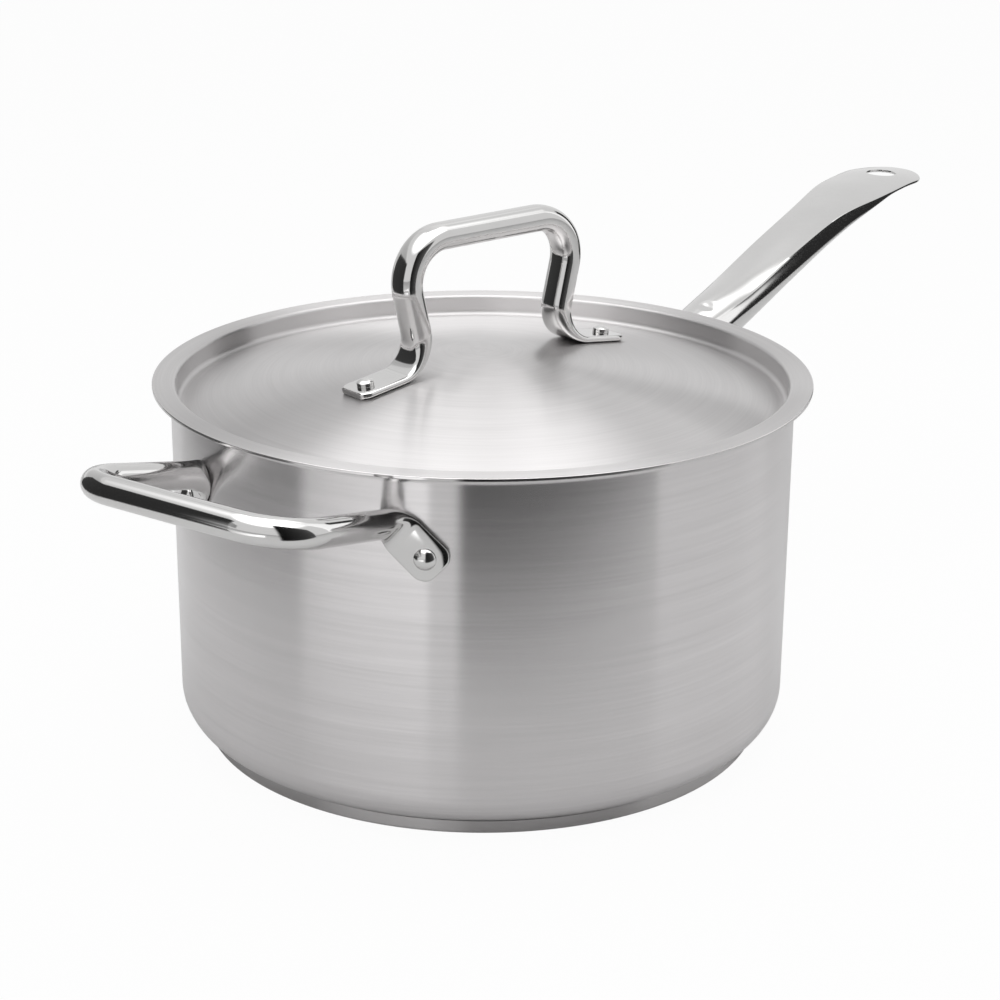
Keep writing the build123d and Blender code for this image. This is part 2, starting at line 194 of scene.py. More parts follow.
class Brush(Enum):
    """The way a wheel or belt has drawn its lines over a sheet."""

    ROUND_THE_WALL = "round the wall"
    IN_RINGS = "in rings"

    def place(self, graph: Graph, along: float, across: float) -> Wire:
        """Stretch the place on the object along the brushed lines.

        Args:
            graph: The tree to add to.
            along: How fast the lines change along themselves, per metre.
            across: How fast they change from one to the next, per metre.

        Returns:
            The stretched place, for a noise.
        """
        if self is Brush.ROUND_THE_WALL:
            return graph.vector_maths("MULTIPLY", graph.object_place(), (along, along, across))
        heading = graph.vector_maths("NORMALIZE", graph.level_place())
        slow = along * RING_RADIUS
        turned = graph.vector_maths("MULTIPLY", heading, (slow, slow, 0.0))
        ring = graph.node("ShaderNodeCombineXYZ", {}, {"Z": graph.reach() * across})
        return graph.vector_maths("ADD", turned, ring)


@dataclass(frozen=True)
class BrushedSteel:
    """Stainless sheet with fine drawn lines.

    Attributes:
        name: Name of the material.
        brush: The way the lines run.
        dark: Colour in the lines.
        light: Colour between them.
        roughness: Mean roughness.
        uneven: How far the roughness changes from place to place.
        anisotropy: How far the gloss is drawn out.
        turn: Direction of the drawn gloss, as a share of a full turn.
        lines: Brushed lines per metre.
        depth: Strength of the relief.
        height: Height of the relief.
        still: Distance from the axis within which the drawn gloss dies away, or nought.
        edge: Distance from the axis where a polished edge begins, or nought.
    """

    name: str
    brush: Brush
    dark: Colour = (0.56, 0.546, 0.549)
    light: Colour = (0.785, 0.768, 0.771)
    roughness: float = 0.228
    uneven: float = 0.035
    anisotropy: float = 1.0
    turn: float = 0.25
    lines: float = 1000.0
    depth: float = 0.045
    height: float = 0.0002
    still: float = 0.0
    edge: float = 0.0

    FINE_SHARE: ClassVar[float] = 0.55
    COARSER: ClassVar[float] = 6.0
    EDGE_BLEND: ClassVar[float] = 0.0003
    EDGE_POLISH: ClassVar[float] = 0.4

    def material(self) -> bpy.types.Material:
        """Make the material from drawn lines over a cloudy polish.

        Returns:
            The material.
        """
        made, graph = new_material(self.name)
        thin = self.brush.place(graph, along=14.0, across=self.lines)
        broad = self.brush.place(graph, along=9.0, across=self.lines / self.COARSER)
        fine = graph.noise(thin, scale=1.0, detail=3.0, harshness=0.6)
        coarse = graph.noise(broad, scale=1.0, detail=2.0, harshness=0.5)
        cloud = graph.noise(graph.object_place(), scale=11.0, detail=2.0, harshness=0.5)
        share = fine * self.FINE_SHARE + coarse * (1 - self.FINE_SHARE)
        rough = self.roughness + (share - 0.5) * self.uneven + (cloud - 0.5) * self.uneven
        if self.edge:
            blend = (self.edge, self.edge + self.EDGE_BLEND)
            rough = rough * graph.ramp(graph.reach(), blend, (1.0, self.EDGE_POLISH))
        relief = graph.bump(share, self.depth, self.height)
        sockets = {
            "Base Color": graph.mix_colours(share, self.dark, self.light),
            "Metallic": 1.0,
            "Roughness": rough,
            "Normal": relief,
        }
        drawn = {"Anisotropic": self.anisotropy, "Anisotropic Rotation": self.turn}
        shader = graph.node("ShaderNodeBsdfPrincipled", {}, sockets | drawn)
        if self.still:
            plain = graph.node("ShaderNodeBsdfPrincipled", {}, sockets)
            calm = graph.ramp(graph.reach(), (0.0, self.still), (1.0, 0.0))
            shader = graph.node("ShaderNodeMixShader", {}, {0: calm, 1: shader, 2: plain})
        surface(graph, shader)
        return made


@dataclass(frozen=True)
class PolishedSteel:
    """Mirror-polished stainless, with the faint haze that handling leaves.

    Attributes:
        name: Name of the material.
        dark: Colour in the haze.
        light: Colour of the clean polish.
        roughness: Roughness of the clean polish.
        haze: Roughness that the haze adds.
        ripple: Strength of the slow ripple that polishing leaves.
        height: Height of that ripple.
    """

    name: str
    dark: Colour = (0.63, 0.625, 0.62)
    light: Colour = (0.7, 0.695, 0.69)
    roughness: float = 0.06
    haze: float = 0.06
    ripple: float = 0.02
    height: float = 0.0004

    PATCH_SHARE: ClassVar[float] = 0.7
    SCRATCHES: ClassVar[tuple[float, float, float]] = (220.0, 220.0, 2600.0)

    def material(self) -> bpy.types.Material:
        """Make the material from a clean polish under a patchy haze.

        Returns:
            The material.
        """
        made, graph = new_material(self.name)
        place = graph.object_place()
        patches = graph.noise(place, scale=60.0, detail=4.0, harshness=0.6)
        drawn = graph.vector_maths("MULTIPLY", place, self.SCRATCHES)
        scratches = graph.noise(drawn, scale=1.0, detail=2.0, harshness=0.5)
        share = patches * self.PATCH_SHARE + scratches * (1 - self.PATCH_SHARE)
        wave = graph.noise(place, scale=90.0, detail=1.0, harshness=0.4)
        sockets = {
            "Base Color": graph.mix_colours(share, self.light, self.dark),
            "Metallic": 1.0,
            "Roughness": self.roughness + share * self.haze,
            "Normal": graph.bump(wave, self.ripple, self.height),
        }
        surface(graph, graph.node("ShaderNodeBsdfPrincipled", {}, sockets))
        return made


@dataclass(frozen=True)
class TurnedAluminium:
    """Dull aluminium with the rings of a lathe.

    Attributes:
        name: Name of the material.
        dark: Colour in the rings.
        light: Colour between them.
        roughness: Least roughness.
        uneven: Roughness that the rings add.
    """

    name: str
    dark: Colour = (0.55, 0.56, 0.57)
    light: Colour = (0.72, 0.73, 0.74)
    roughness: float = 0.38
    uneven: float = 0.15

    def material(self) -> bpy.types.Material:
        """Make the material from fine rings.

        Returns:
            The material.
        """
        made, graph = new_material(self.name)
        place = Brush.IN_RINGS.place(graph, along=10.0, across=900.0)
        rings = graph.noise(place, scale=1.0, detail=2.0, harshness=0.5)
        sockets = {
            "Base Color": graph.mix_colours(rings, self.dark, self.light),
            "Metallic": 1.0,
            "Roughness": self.roughness + rings * self.uneven,
        }
        surface(graph, graph.node("ShaderNodeBsdfPrincipled", {}, sockets))
        return made


def new_material(name: str) -> tuple[bpy.types.Material, Graph]:
    """Make an empty node material.

    Args:
        name: Name of the material.

    Returns:
        The material and its node tree.
    """
    made = bpy.data.materials.new(name)
    made.use_nodes = True
    return made, Graph(made.node_tree)


def surface(graph: Graph, shader: Wire) -> None:
    """Send a shader to the material's surface."""
    graph.node("ShaderNodeOutputMaterial", {}, {"Surface": shader})


def straight(start: Vector, stop: Vector, pitch: float, support: float = 0.00025) -> list[Step]:
    """Walk along a straight run, with a short step at both ends to hold the shading.

    Args:
        start: First point.
        stop: Last point.
        pitch: Longest step.
        support: Length of the short step at the ends.

    Returns:
        Points and directions.
    """
    way = stop - start
    length = way.length
    if length < 4 * support:
        return [(start.copy(), way.normalized()), (stop.copy(), way.normalized())]
    inner = length - 2 * support
    count = max(1, math.ceil(inner / pitch))
    places = [0.0] + [support + inner * k / count for k in range(count + 1)] + [length]
    along = way.normalized()
    return [(start + along * place, along) for place in places]


def rounded_runs(
    corners: Sequence[Vector], bends: Sequence[float], pitch: float
) -> list[list[Step]]:
    """Join straight runs by arcs that touch them.

    Args:
        corners: Points where the runs would meet, with the two ends.
        bends: Radius at each inner corner.
        pitch: Longest step along a run or an arc.

    Returns:
        The runs and arcs in turn, each as points and directions.
    """
    runs = []
    here = corners[0]
    for before, corner, after, bend in zip(corners, corners[1:], corners[2:], bends):
        way_in = (corner - before).normalized()
        way_out = (after - corner).normalized()
        turn = way_in.angle(way_out)
        begin = corner - way_in * (bend * math.tan(turn / 2))
        inward = (way_out - way_in * way_out.dot(way_in)).normalized()
        middle = begin + inward * bend
        runs.append(straight(here, begin, pitch))
        count = max(2, math.ceil(bend * turn / pitch), math.ceil(turn / ARC_ANGLE))
        arc = []
        for k in range(count + 1):
            angle = turn * k / count
            out = way_in * math.sin(angle) - inward * math.cos(angle)
            arc.append((middle + out * bend, way_in * math.cos(angle) + inward * math.sin(angle)))
        runs.append(arc)
        here = arc[-1][0]
    runs.append(straight(here, corners[-1], pitch))
    return runs


def joined(runs: Sequence[Sequence[Step]]) -> list[Step]:
    """Join runs into one, leaving out the points that two of them share.

    Args:
        runs: Runs that follow each other.

    Returns:
        One run of points and directions.
    """
    steps = list(runs[0])
    for run in runs[1:]:
        steps.extend(run[1:])
    return steps


def rounded_outline(
    corners: Sequence[Vector], bends: Sequence[float], pitch: float
) -> list[Vector]:
    """Round the corners of an outline, as rounded_runs does, and give its points alone."""
    return [at for at, _ in joined(rounded_runs(corners, bends, pitch))]


def flat(*points: tuple[float, float]) -> list[Vector]:
    """Turn pairs of radius and height into points."""
    return [Vector((radius, 0.0, height)) for radius, height in points]


def smooth_mesh(
    name: str, points: Sequence[Vector], faces: Sequence[Sequence[int]]
) -> bpy.types.Mesh:
    """Make a closed, smoothly shaded mesh.

    Args:
        name: Name of the mesh.
        points: Its vertices.
        faces: Its faces.

    Returns:
        The mesh, with normals out and creases kept sharp.
    """
    mesh = bpy.data.meshes.new(name)
    mesh.from_pydata([tuple(point) for point in points], [], faces)
    shaped = bmesh.new()
    shaped.from_mesh(mesh)
    bmesh.ops.recalc_face_normals(shaped, faces=shaped.faces)
    shaped.to_mesh(mesh)
    shaped.free()
    crease(mesh)
    return mesh


def crease(mesh: bpy.types.Mesh) -> None:
    """Shade a mesh smooth and keep its creases sharp."""
    mesh.shade_smooth()
    mesh.set_sharp_from_angle(angle=CREASE_ANGLE)


def lathe(name: str, outline: Sequence[Vector], sides: int) -> bpy.types.Mesh:
    """Turn an outline round the Z axis, from the axis and back to it.

    Args:
        name: Name of the mesh.
        outline: Points of the outline, by radius and height.
        sides: Steps in a full turn.

    Returns:
        The turned mesh.
    """
    points: list[Vector] = []
    rings: list[list[int]] = []
    for point in outline:
        first = len(points)
        if point.x < ON_AXIS:
            points.append(UP * point.z)
            rings.append([first] * sides)
            continue
        for k in range(sides):
            turn = 2 * math.pi * k / sides
            points.append(Vector((point.x * math.cos(turn), point.x * math.sin(turn), point.z)))
        rings.append(list(range(first, first + sides)))
    return smooth_mesh(name, points, ring_faces(rings))


def ring_faces(rings: Sequence[Sequence[int]]) -> list[list[int]]:
    """Make the faces between rings of vertices, as triangles where a ring is a single point.

    Args:
        rings: Numbers of the vertices in each ring.

    Returns:
        The faces, each as numbers of vertices.
    """
    faces = []
    for low, high in zip(rings, rings[1:]):
        for k in range(len(low)):
            after = (k + 1) % len(low)
            corners = [low[k], low[after], high[after], high[k]]
            unique = list(dict.fromkeys(corners))
            if len(unique) > 2:
                faces.append(unique)
    return faces


@dataclass
class Section:
    """One section of a tube.

    Attributes:
        at: Its middle.
        along: Direction of the tube there.
        width: Size across the handle.
        depth: Size through the handle.
        pressed: Share of the way from an oval to a tube pressed between plates.
        wrap: Share by which it follows the wall of the pan.
        roll: Turn about its direction, in radians.
        creased: Whether its top is pressed flat down to two creases.
        bow: Fall towards its sides, per metre.
    """

    at: Vector
    along: Vector
    width: float
    depth: float
    pressed: float = 0.0
    wrap: float = 0.0
    roll: float = 0.0
    creased: bool = False
    bow: float = 0.0

    SQUARENESS: ClassVar[float] = 1.6
    CREASE: ClassVar[float] = math.radians(50.0)
    TOP_SHARE: ClassVar[float] = 9 / 28
    SIDES_SHARE: ClassVar[float] = 23 / 28

    def outline(self, sides: int) -> list[tuple[float, float]]:
        """Draw the section from the middle of its top.

        Args:
            sides: Points round it.

        Returns:
            The points, across and through.
        """
        square = 2 / (2 + self.SQUARENESS * max(0.0, 1 - self.depth / self.width))
        bend = min(self.depth, self.width) / 2
        level = self.width / 2 - bend
        around = 4 * level + 2 * math.pi * bend
        drawn = []
        for k in range(sides):
            turn = 2 * math.pi * k / sides
            sine, cosine = math.sin(turn), math.cos(turn)
            oval = (
                math.copysign(abs(sine) ** square, sine) * self.width / 2,
                math.copysign(abs(cosine) ** square, cosine) * self.depth / 2,
            )
            if self.creased:
                plate = self._creased_point(k / sides, level, bend)
            else:
                plate = self._pressed_point(around * k / sides, level, bend)
            drawn.append(tuple(a + (b - a) * self.pressed for a, b in zip(oval, plate)))
        return drawn

    @staticmethod
    def _pressed_point(run: float, level: float, bend: float) -> tuple[float, float]:
        """Find a point of a pressed tube.

        Args:
            run: Length round it from the middle of its top.
            level: Half the length of its flat faces.
            bend: Radius of its sides.

        Returns:
            The point, across and through.
        """
        half_round = math.pi * bend
        if run < level:
            return run, bend
        if run < level + half_round:
            angle = (run - level) / bend
            return level + bend * math.sin(angle), bend * math.cos(angle)
        if run < 3 * level + half_round:
            return 2 * level + half_round - run, -bend
        if run < 3 * level + 2 * half_round:
            angle = (run - 3 * level - half_round) / bend
            return -level - bend * math.sin(angle), -bend * math.cos(angle)
        return run - 4 * level - 2 * half_round, bend

    @classmethod
    def _creased_point(cls, turn: float, level: float, bend: float) -> tuple[float, float]:
        """Find a point of a tube with a flat top between two creases, by its share of a full turn.

        Args:
            turn: Share of the way round, from the middle of the top.
            level: Half the length of the flat underside.
            bend: Radius of the sides.

        Returns:
            The point, across and through.
        """
        side = 1.0 if turn <= 0.5 else -1.0
        share = 2 * min(turn, 1 - turn)
        crease, top, under = cls.CREASE, cls.TOP_SHARE, cls.SIDES_SHARE
        if share <= top:
            return side * (level + bend * math.cos(crease)) * share / top, bend * math.sin(crease)
        if share < under:
            angle = crease - (crease + math.pi / 2) * (share - top) / (under - top)
            return side * (level + bend * math.cos(angle)), bend * math.sin(angle)
        return side * level * (1 - share) / (1 - under), -bend


def tube_rings(
    sections: Sequence[Section], across: Vector, sides: int, wall: float
) -> list[list[Vector]]:
    """Place the outline of each section in space.

    Args:
        sections: Sections from end to end.
        across: Direction across the first section, carried along the tube.
        sides: Points in each ring.
        wall: Radius of the wall that a wrapped section follows.

    Returns:
        One ring of points for each section.
    """
    rings = []
    side = across
    for section in sections:
        side = (side - section.along * side.dot(section.along)).normalized()
        spin = Quaternion(section.along, section.roll)
        level = spin @ side
        through = level.cross(section.along)
        ring = []
        for reach, rise in section.outline(sides):
            middle = section.at + level * reach
            point = middle + through * (rise - section.bow * reach * reach)
            if section.wrap:
                out = Vector((middle.x, middle.y, 0.0))
                point += out.normalized() * ((wall - out.length) * section.wrap)
            ring.append(point)
        rings.append(ring)
    return rings


def skin(name: str, rings: Sequence[Sequence[Vector]]) -> bpy.types.Mesh:
    """Cover rings of points with a closed skin.

    Args:
        name: Name of the mesh.
        rings: Rings of points from end to end.

    Returns:
        The mesh, with both ends closed.
    """
    points: list[Vector] = []
    numbered: list[list[int]] = []
    sides = len(rings[0])
    for ring in rings:
        numbered.append(list(range(len(points), len(points) + sides)))
        points.extend(ring)
    faces = ring_faces(numbered)
    for ring in (numbered[0], numbered[-1]):
        middle = sum((points[k] for k in ring), Vector()) / sides
        points.append(middle)
        faces.extend([ring[k], ring[(k + 1) % sides], len(points) - 1] for k in range(sides))
    return smooth_mesh(name, points, faces)


def cut(mesh: bpy.types.Mesh, cutter: bpy.types.Mesh) -> bpy.types.Mesh:
    """Cut one closed mesh out of another.

    Args:
        mesh: The mesh to cut.
        cutter: The mesh that is taken away.

    Returns:
        The cut mesh, under the first one's name.
    """
    name = mesh.name
    body = bpy.data.objects.new("cut_body", mesh)
    tool = bpy.data.objects.new("cut_tool", cutter)
    for thing in (body, tool):
        link(thing)
    change = body.modifiers.new("cut", "BOOLEAN")
    change.object = tool
    change.operation = "DIFFERENCE"
    change.solver = "EXACT"
    shown = bpy.context.evaluated_depsgraph_get()
    made = bpy.data.meshes.new_from_object(body.evaluated_get(shown))
    for thing in (body, tool):
        bpy.data.objects.remove(thing)
    for old in (mesh, cutter):
        bpy.data.meshes.remove(old)
    made.name = name
    crease(made)
    return made


def eased(share: float) -> float:
    """Ease a share from nought to one, level at both ends."""
    return share * share * (3 - 2 * share)


def ramped(value: float, start: float, stop: float) -> float:
    """Rise from nought to one between two values, level at both ends."""
    return eased(min(max((value - start) / (stop - start), 0.0), 1.0))


@dataclass(frozen=True)
class Station:
    """One measured place along the long handle.

    Attributes:
        reach: Distance from the pan's axis.
        level: Height of the middle of the tube.
        width: Width of the tube.
        depth: Depth of the tube, before its top is pressed flat.
    """

    reach: float
    level: float
    width: float
    depth: float


def between(stations: Sequence[Station], reach: float) -> Station:
    """Follow the stations on a smooth curve.

    Args:
        stations: Stations in order of reach.
        reach: The place that is wanted.

    Returns:
        The station there.
    """
    rows = [astuple(station) for station in stations]
    last = len(rows) - 1
    low = max([k for k in range(last) if rows[k][0] <= reach], default=0)
    span = rows[low + 1][0] - rows[low][0]
    share = (reach - rows[low][0]) / span
    rise = eased(share)
    values = []
    for column in range(1, 4):
        slopes = []
        for k in (low, low + 1):
            before, after = rows[max(k - 1, 0)], rows[min(k + 1, last)]
            slopes.append((after[column] - before[column]) / (after[0] - before[0]) * span)
        bow = share * (1 - share) * (slopes[0] * (1 - share) - slopes[1] * share)
        values.append(rows[low][column] * (1 - rise) + rows[low + 1][column] * rise + bow)
    return Station(reach, *values)


def link(thing: bpy.types.Object) -> None:
    """Put an object in the scene."""
    bpy.context.scene.collection.objects.link(thing)


def show(
    name: str, mesh: bpy.types.Mesh, finish: bpy.types.Material, body: str, slot: str, *nodes: str
) -> None:
    """Put a piece in the scene in place of its CAD nodes.

    Args:
        name: Name of the piece.
        mesh: Its mesh.
        finish: Its material.
        body: The body it rides on.
        slot: The record's slot of its finish; not used.
        nodes: The CAD nodes it stands for.
    """
    mesh.materials.append(finish)
    piece = bpy.data.objects.new(name, mesh)
    link(piece)
    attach(piece, body)
    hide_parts(*nodes)
    LOG.info("%s: %d faces on %s", name, len(mesh.polygons), body)


@dataclass
class Finishes:
    """The materials of the whole pan, made once.

    Attributes:
        pan: Brushed steel of the wall.
        lid: Brushed steel of the lid.
        base: Turned steel of the base cap.
        handle: Polished steel of the handles.
        rivet: Polished steel of the rivets.
        core: Aluminium inside the base.
    """

    pan: bpy.types.Material = field(init=False)
    lid: bpy.types.Material = field(init=False)
    base: bpy.types.Material = field(init=False)
    handle: bpy.types.Material = field(init=False)
    rivet: bpy.types.Material = field(init=False)
    core: bpy.types.Material = field(init=False)

    def __post_init__(self) -> None:
        """Make every material."""
        self.pan = BrushedSteel("pan_brushed_steel", Brush.ROUND_THE_WALL).material()
        self.lid = BrushedSteel(
            "lid_brushed_steel",
            Brush.IN_RINGS,
            dark=(0.52, 0.509, 0.509),
            light=(0.71, 0.697, 0.697),
            roughness=0.33,
            uneven=0.02,
            lines=1500.0,
            depth=0.01,
            still=0.07,
            edge=0.1274,
        ).material()
        self.base = BrushedSteel(
            "base_turned_steel",
            Brush.IN_RINGS,
            dark=(0.46, 0.45, 0.45),
            light=(0.65, 0.635, 0.635),
            roughness=0.36,
            lines=1500.0,
        ).material()
        self.handle = PolishedSteel("handle_polished_steel").material()
        self.rivet = PolishedSteel("rivet_polished_steel", roughness=0.12).material()
        self.core = TurnedAluminium("core_turned_aluminium").material()


@dataclass
class Pan:
    """The drawn shell and its capsule base.

    Attributes:
        radius: Outer radius of the wall.
        wall: Thickness of the sheet.
        rim_height: Height of the rim.
        rim_radius: Radius of the flared rim.
        rim_bend: Bend under the rim.
        corner: Outer radius of the lower corner.
        base_height: Height of the capsule base.
        cap_radius: Radius of the capsule base.
        cap_sheet: Thickness of its steel.
        cap_bend: Outer radius of its lower edge.
        lip: Rounding of a cut edge.
        pitch: Longest step along the outline.
        sides: Steps in a full turn.
    """

    radius: float = 0.121
    wall: float = 0.001
    rim_height: float = 0.142
    rim_radius: float = 0.1245
    rim_bend: float = 0.0031
    corner: float = 0.0135
    base_height: float = 0.0052
    cap_radius: float = 0.1115
    cap_sheet: float = 0.0006
    cap_bend: float = 0.0012
    lip: float = 0.0003
    pitch: float = 0.012
    sides: int = 288

    def build_shell(self) -> bpy.types.Mesh:
        """Turn the shell from its outer foot over the rim to its inner floor.

        Returns:
            The shell's mesh.
        """
        inside = self.radius - self.wall
        under_rim = self.rim_height - self.wall
        floor = self.base_height + self.wall
        corners = flat(
            (0.0, self.base_height),
            (self.radius, self.base_height),
            (self.radius, under_rim),
            (self.rim_radius, under_rim),
            (self.rim_radius, self.rim_height),
            (inside, self.rim_height),
            (inside, floor),
            (0.0, floor),
        )
        bends = [self.corner, self.rim_bend, self.lip, self.lip]
        bends += [self.rim_bend + self.wall, self.corner - self.wall]
        return lathe("pan_shell_mesh", rounded_outline(corners, bends, self.pitch), self.sides)

    def build_cap(self) -> bpy.types.Mesh:
        """Turn the cap that closes the base.

        Returns:
            The cap's mesh.
        """
        inside = self.cap_radius - self.cap_sheet
        corners = flat(
            (0.0, 0.0),
            (self.cap_radius, 0.0),
            (self.cap_radius, self.base_height),
            (inside, self.base_height),
            (inside, self.cap_sheet),
            (0.0, self.cap_sheet),
        )
        bends = [self.cap_bend, self.lip / 2, self.lip / 2, self.cap_bend - self.cap_sheet]
        return lathe("base_cap_mesh", rounded_outline(corners, bends, self.pitch), self.sides)

    def dress(self, finishes: Finishes, nodes: dict[str, bpy.types.Object]) -> None:
        """Show the shell and the cap, and finish the hidden core.

        Args:
            finishes: The materials.
            nodes: The CAD nodes by name.
        """
        show("pan_shell_brushed", self.build_shell(), finishes.pan, "pan", "pan_steel", "pan_shell")
        show("base_cap_turned", self.build_cap(), finishes.base, "pan", "base_steel", "base_cap")
        core = nodes["base_core"]
        core.data.materials.clear()
        core.data.materials.append(finishes.core)


@dataclass
class Rivet:
    """A domed rivet with a flat head behind the sheet.

    Attributes:
        head: Radius of both heads.
        shank: Radius of the shank.
        rim: Height of the side of the dome.
        slack: Gap between the sheet and the flat head.
        crown: Height of the dome over the lug.
        back: Thickness of the flat head.
        lip: Rounding of the heads.
        dome_steps: Steps over the dome.
        dome_share: Share of the dome before its rounded foot.
        pitch: Longest step along the outline below it.
        sides: Steps in a full turn.
    """

    head: float
    shank: float
    rim: float
    slack: float
    crown: float = 0.0025
    back: float = 0.001
    lip: float = 0.0004
    dome_steps: int = 14
    dome_share: float = 0.93
    pitch: float = 0.001
    sides: int = 72

    def build(self, name: str, seat: Vector, axis: Vector, metal: float) -> bpy.types.Mesh:
        """Turn the rivet and set it on its seat.

        Args:
            name: Name of the mesh.
            seat: Middle of the seat, on the face of the lug.
            axis: Direction that the dome points in.
            metal: Thickness that it holds together.

        Returns:
            The rivet's mesh.
        """
        dome = self.crown - self.rim
        ball = (self.head * self.head + dome * dome) / (2 * dome)
        swing = math.asin(self.head / ball)
        top = []
        for k in range(self.dome_steps + 1):
            angle = swing * k / self.dome_steps * self.dome_share
            top.append((ball * math.sin(angle), self.crown - ball + ball * math.cos(angle)))
        foot = -(metal + self.slack)
        below = flat(
            top[-1],
            (self.head, self.rim),
            (self.head, 0.0),
            (self.shank, 0.0),
            (self.shank, foot),
            (self.head, foot),
            (self.head, foot - self.back),
            (0.0, foot - self.back),
        )
        bends = [self.lip / 2] + [self.lip / 4] * 4 + [self.lip]
        mesh = lathe(name, flat(*top[:-1]) + rounded_outline(below, bends, self.pitch), self.sides)
        turn = UP.rotation_difference(axis).to_matrix().to_4x4()
        mesh.transform(Matrix.Translation(seat) @ turn)
        return mesh


@dataclass
class Lug:
    """The flat end of a tube, with clipped corners.

    Attributes:
        width: Width of the flat.
        sheet: Its thickness.
        end: Width of its end, between the clipped corners.
        clip: Length of a clipped corner.
        bevel: Softening of the cut end.
        corner: Rounding of the corners of the end.
        crisp: How crisp the clipped corners are.
        pressed: Share by which its faces are flat, not crowned.
    """

    width: float
    sheet: float
    end: float
    clip: float
    bevel: float = 0.00035
    corner: float = 0.0007
    crisp: float = 9.0
    pressed: float = 1.0

    def sections(self, run: Sequence[Step], wrap: float) -> list[Section]:
        """Make the sections of the lug, from its tip.

        Args:
            run: Points and directions from the tip to the bend.
            wrap: Share by which the lug follows the wall.

        Returns:
            The sections, with the cut end softened.
        """
        tip, along = run[0]
        made = []
        for place in (0.0, self.bevel / 3, self.bevel):
            inset = self.bevel * (1 - math.sqrt(1 - (1 - place / self.bevel) ** 2))
            made.append(self._section(tip + along * place, along, place, inset, wrap))
        for at, way in run:
            place = (at - tip).length
            if place > self.bevel * 1.5:
                made.append(self._section(at, way, place, inset=0.0, wrap=wrap))
        return made

    def _section(
        self, at: Vector, along: Vector, place: float, inset: float, wrap: float
    ) -> Section:
        """Make one section of the lug.

        Args:
            at: Its middle.
            along: Direction of the lug there.
            place: Its distance from the tip.
            inset: How far it is taken in all round.
            wrap: Share by which it follows the wall.

        Returns:
            The section.
        """
        short = math.log1p(math.exp(self.crisp * (1 - place / self.clip))) / self.crisp
        width = self.width - (self.width - self.end) * short
        left = max(1 - place / self.corner, 0.0)
        width -= 2 * self.corner * (1 - math.sqrt(1 - left * left))
        return Section(at, along, width - 2 * inset, self.sheet - 2 * inset, self.pressed, wrap)


def pressed_end(
    lug: Lug, runs: Sequence[Sequence[Step]], tube: tuple[float, float], wrap: float
) -> list[Section]:
    """Press the end of a tube flat through its first bend.

    Args:
        lug: The flat end.
        runs: The straight run of the lug and the bend after it.
        tube: Width and depth of the tube.
        wrap: Share by which the lug follows the wall.

    Returns:
        Sections from the tip to the end of the bend.
    """
    made = lug.sections(runs[0], wrap)
    count = len(runs[1]) - 1
    for k, (at, along) in enumerate(runs[1][1:], start=1):
        share = 1 - eased(k / count)
        width = tube[0] + (lug.width - tube[0]) * share
        depth = tube[1] + (lug.sheet - tube[1]) * share
        made.append(Section(at, along, width, depth, share * lug.pressed, wrap * share))
    return made


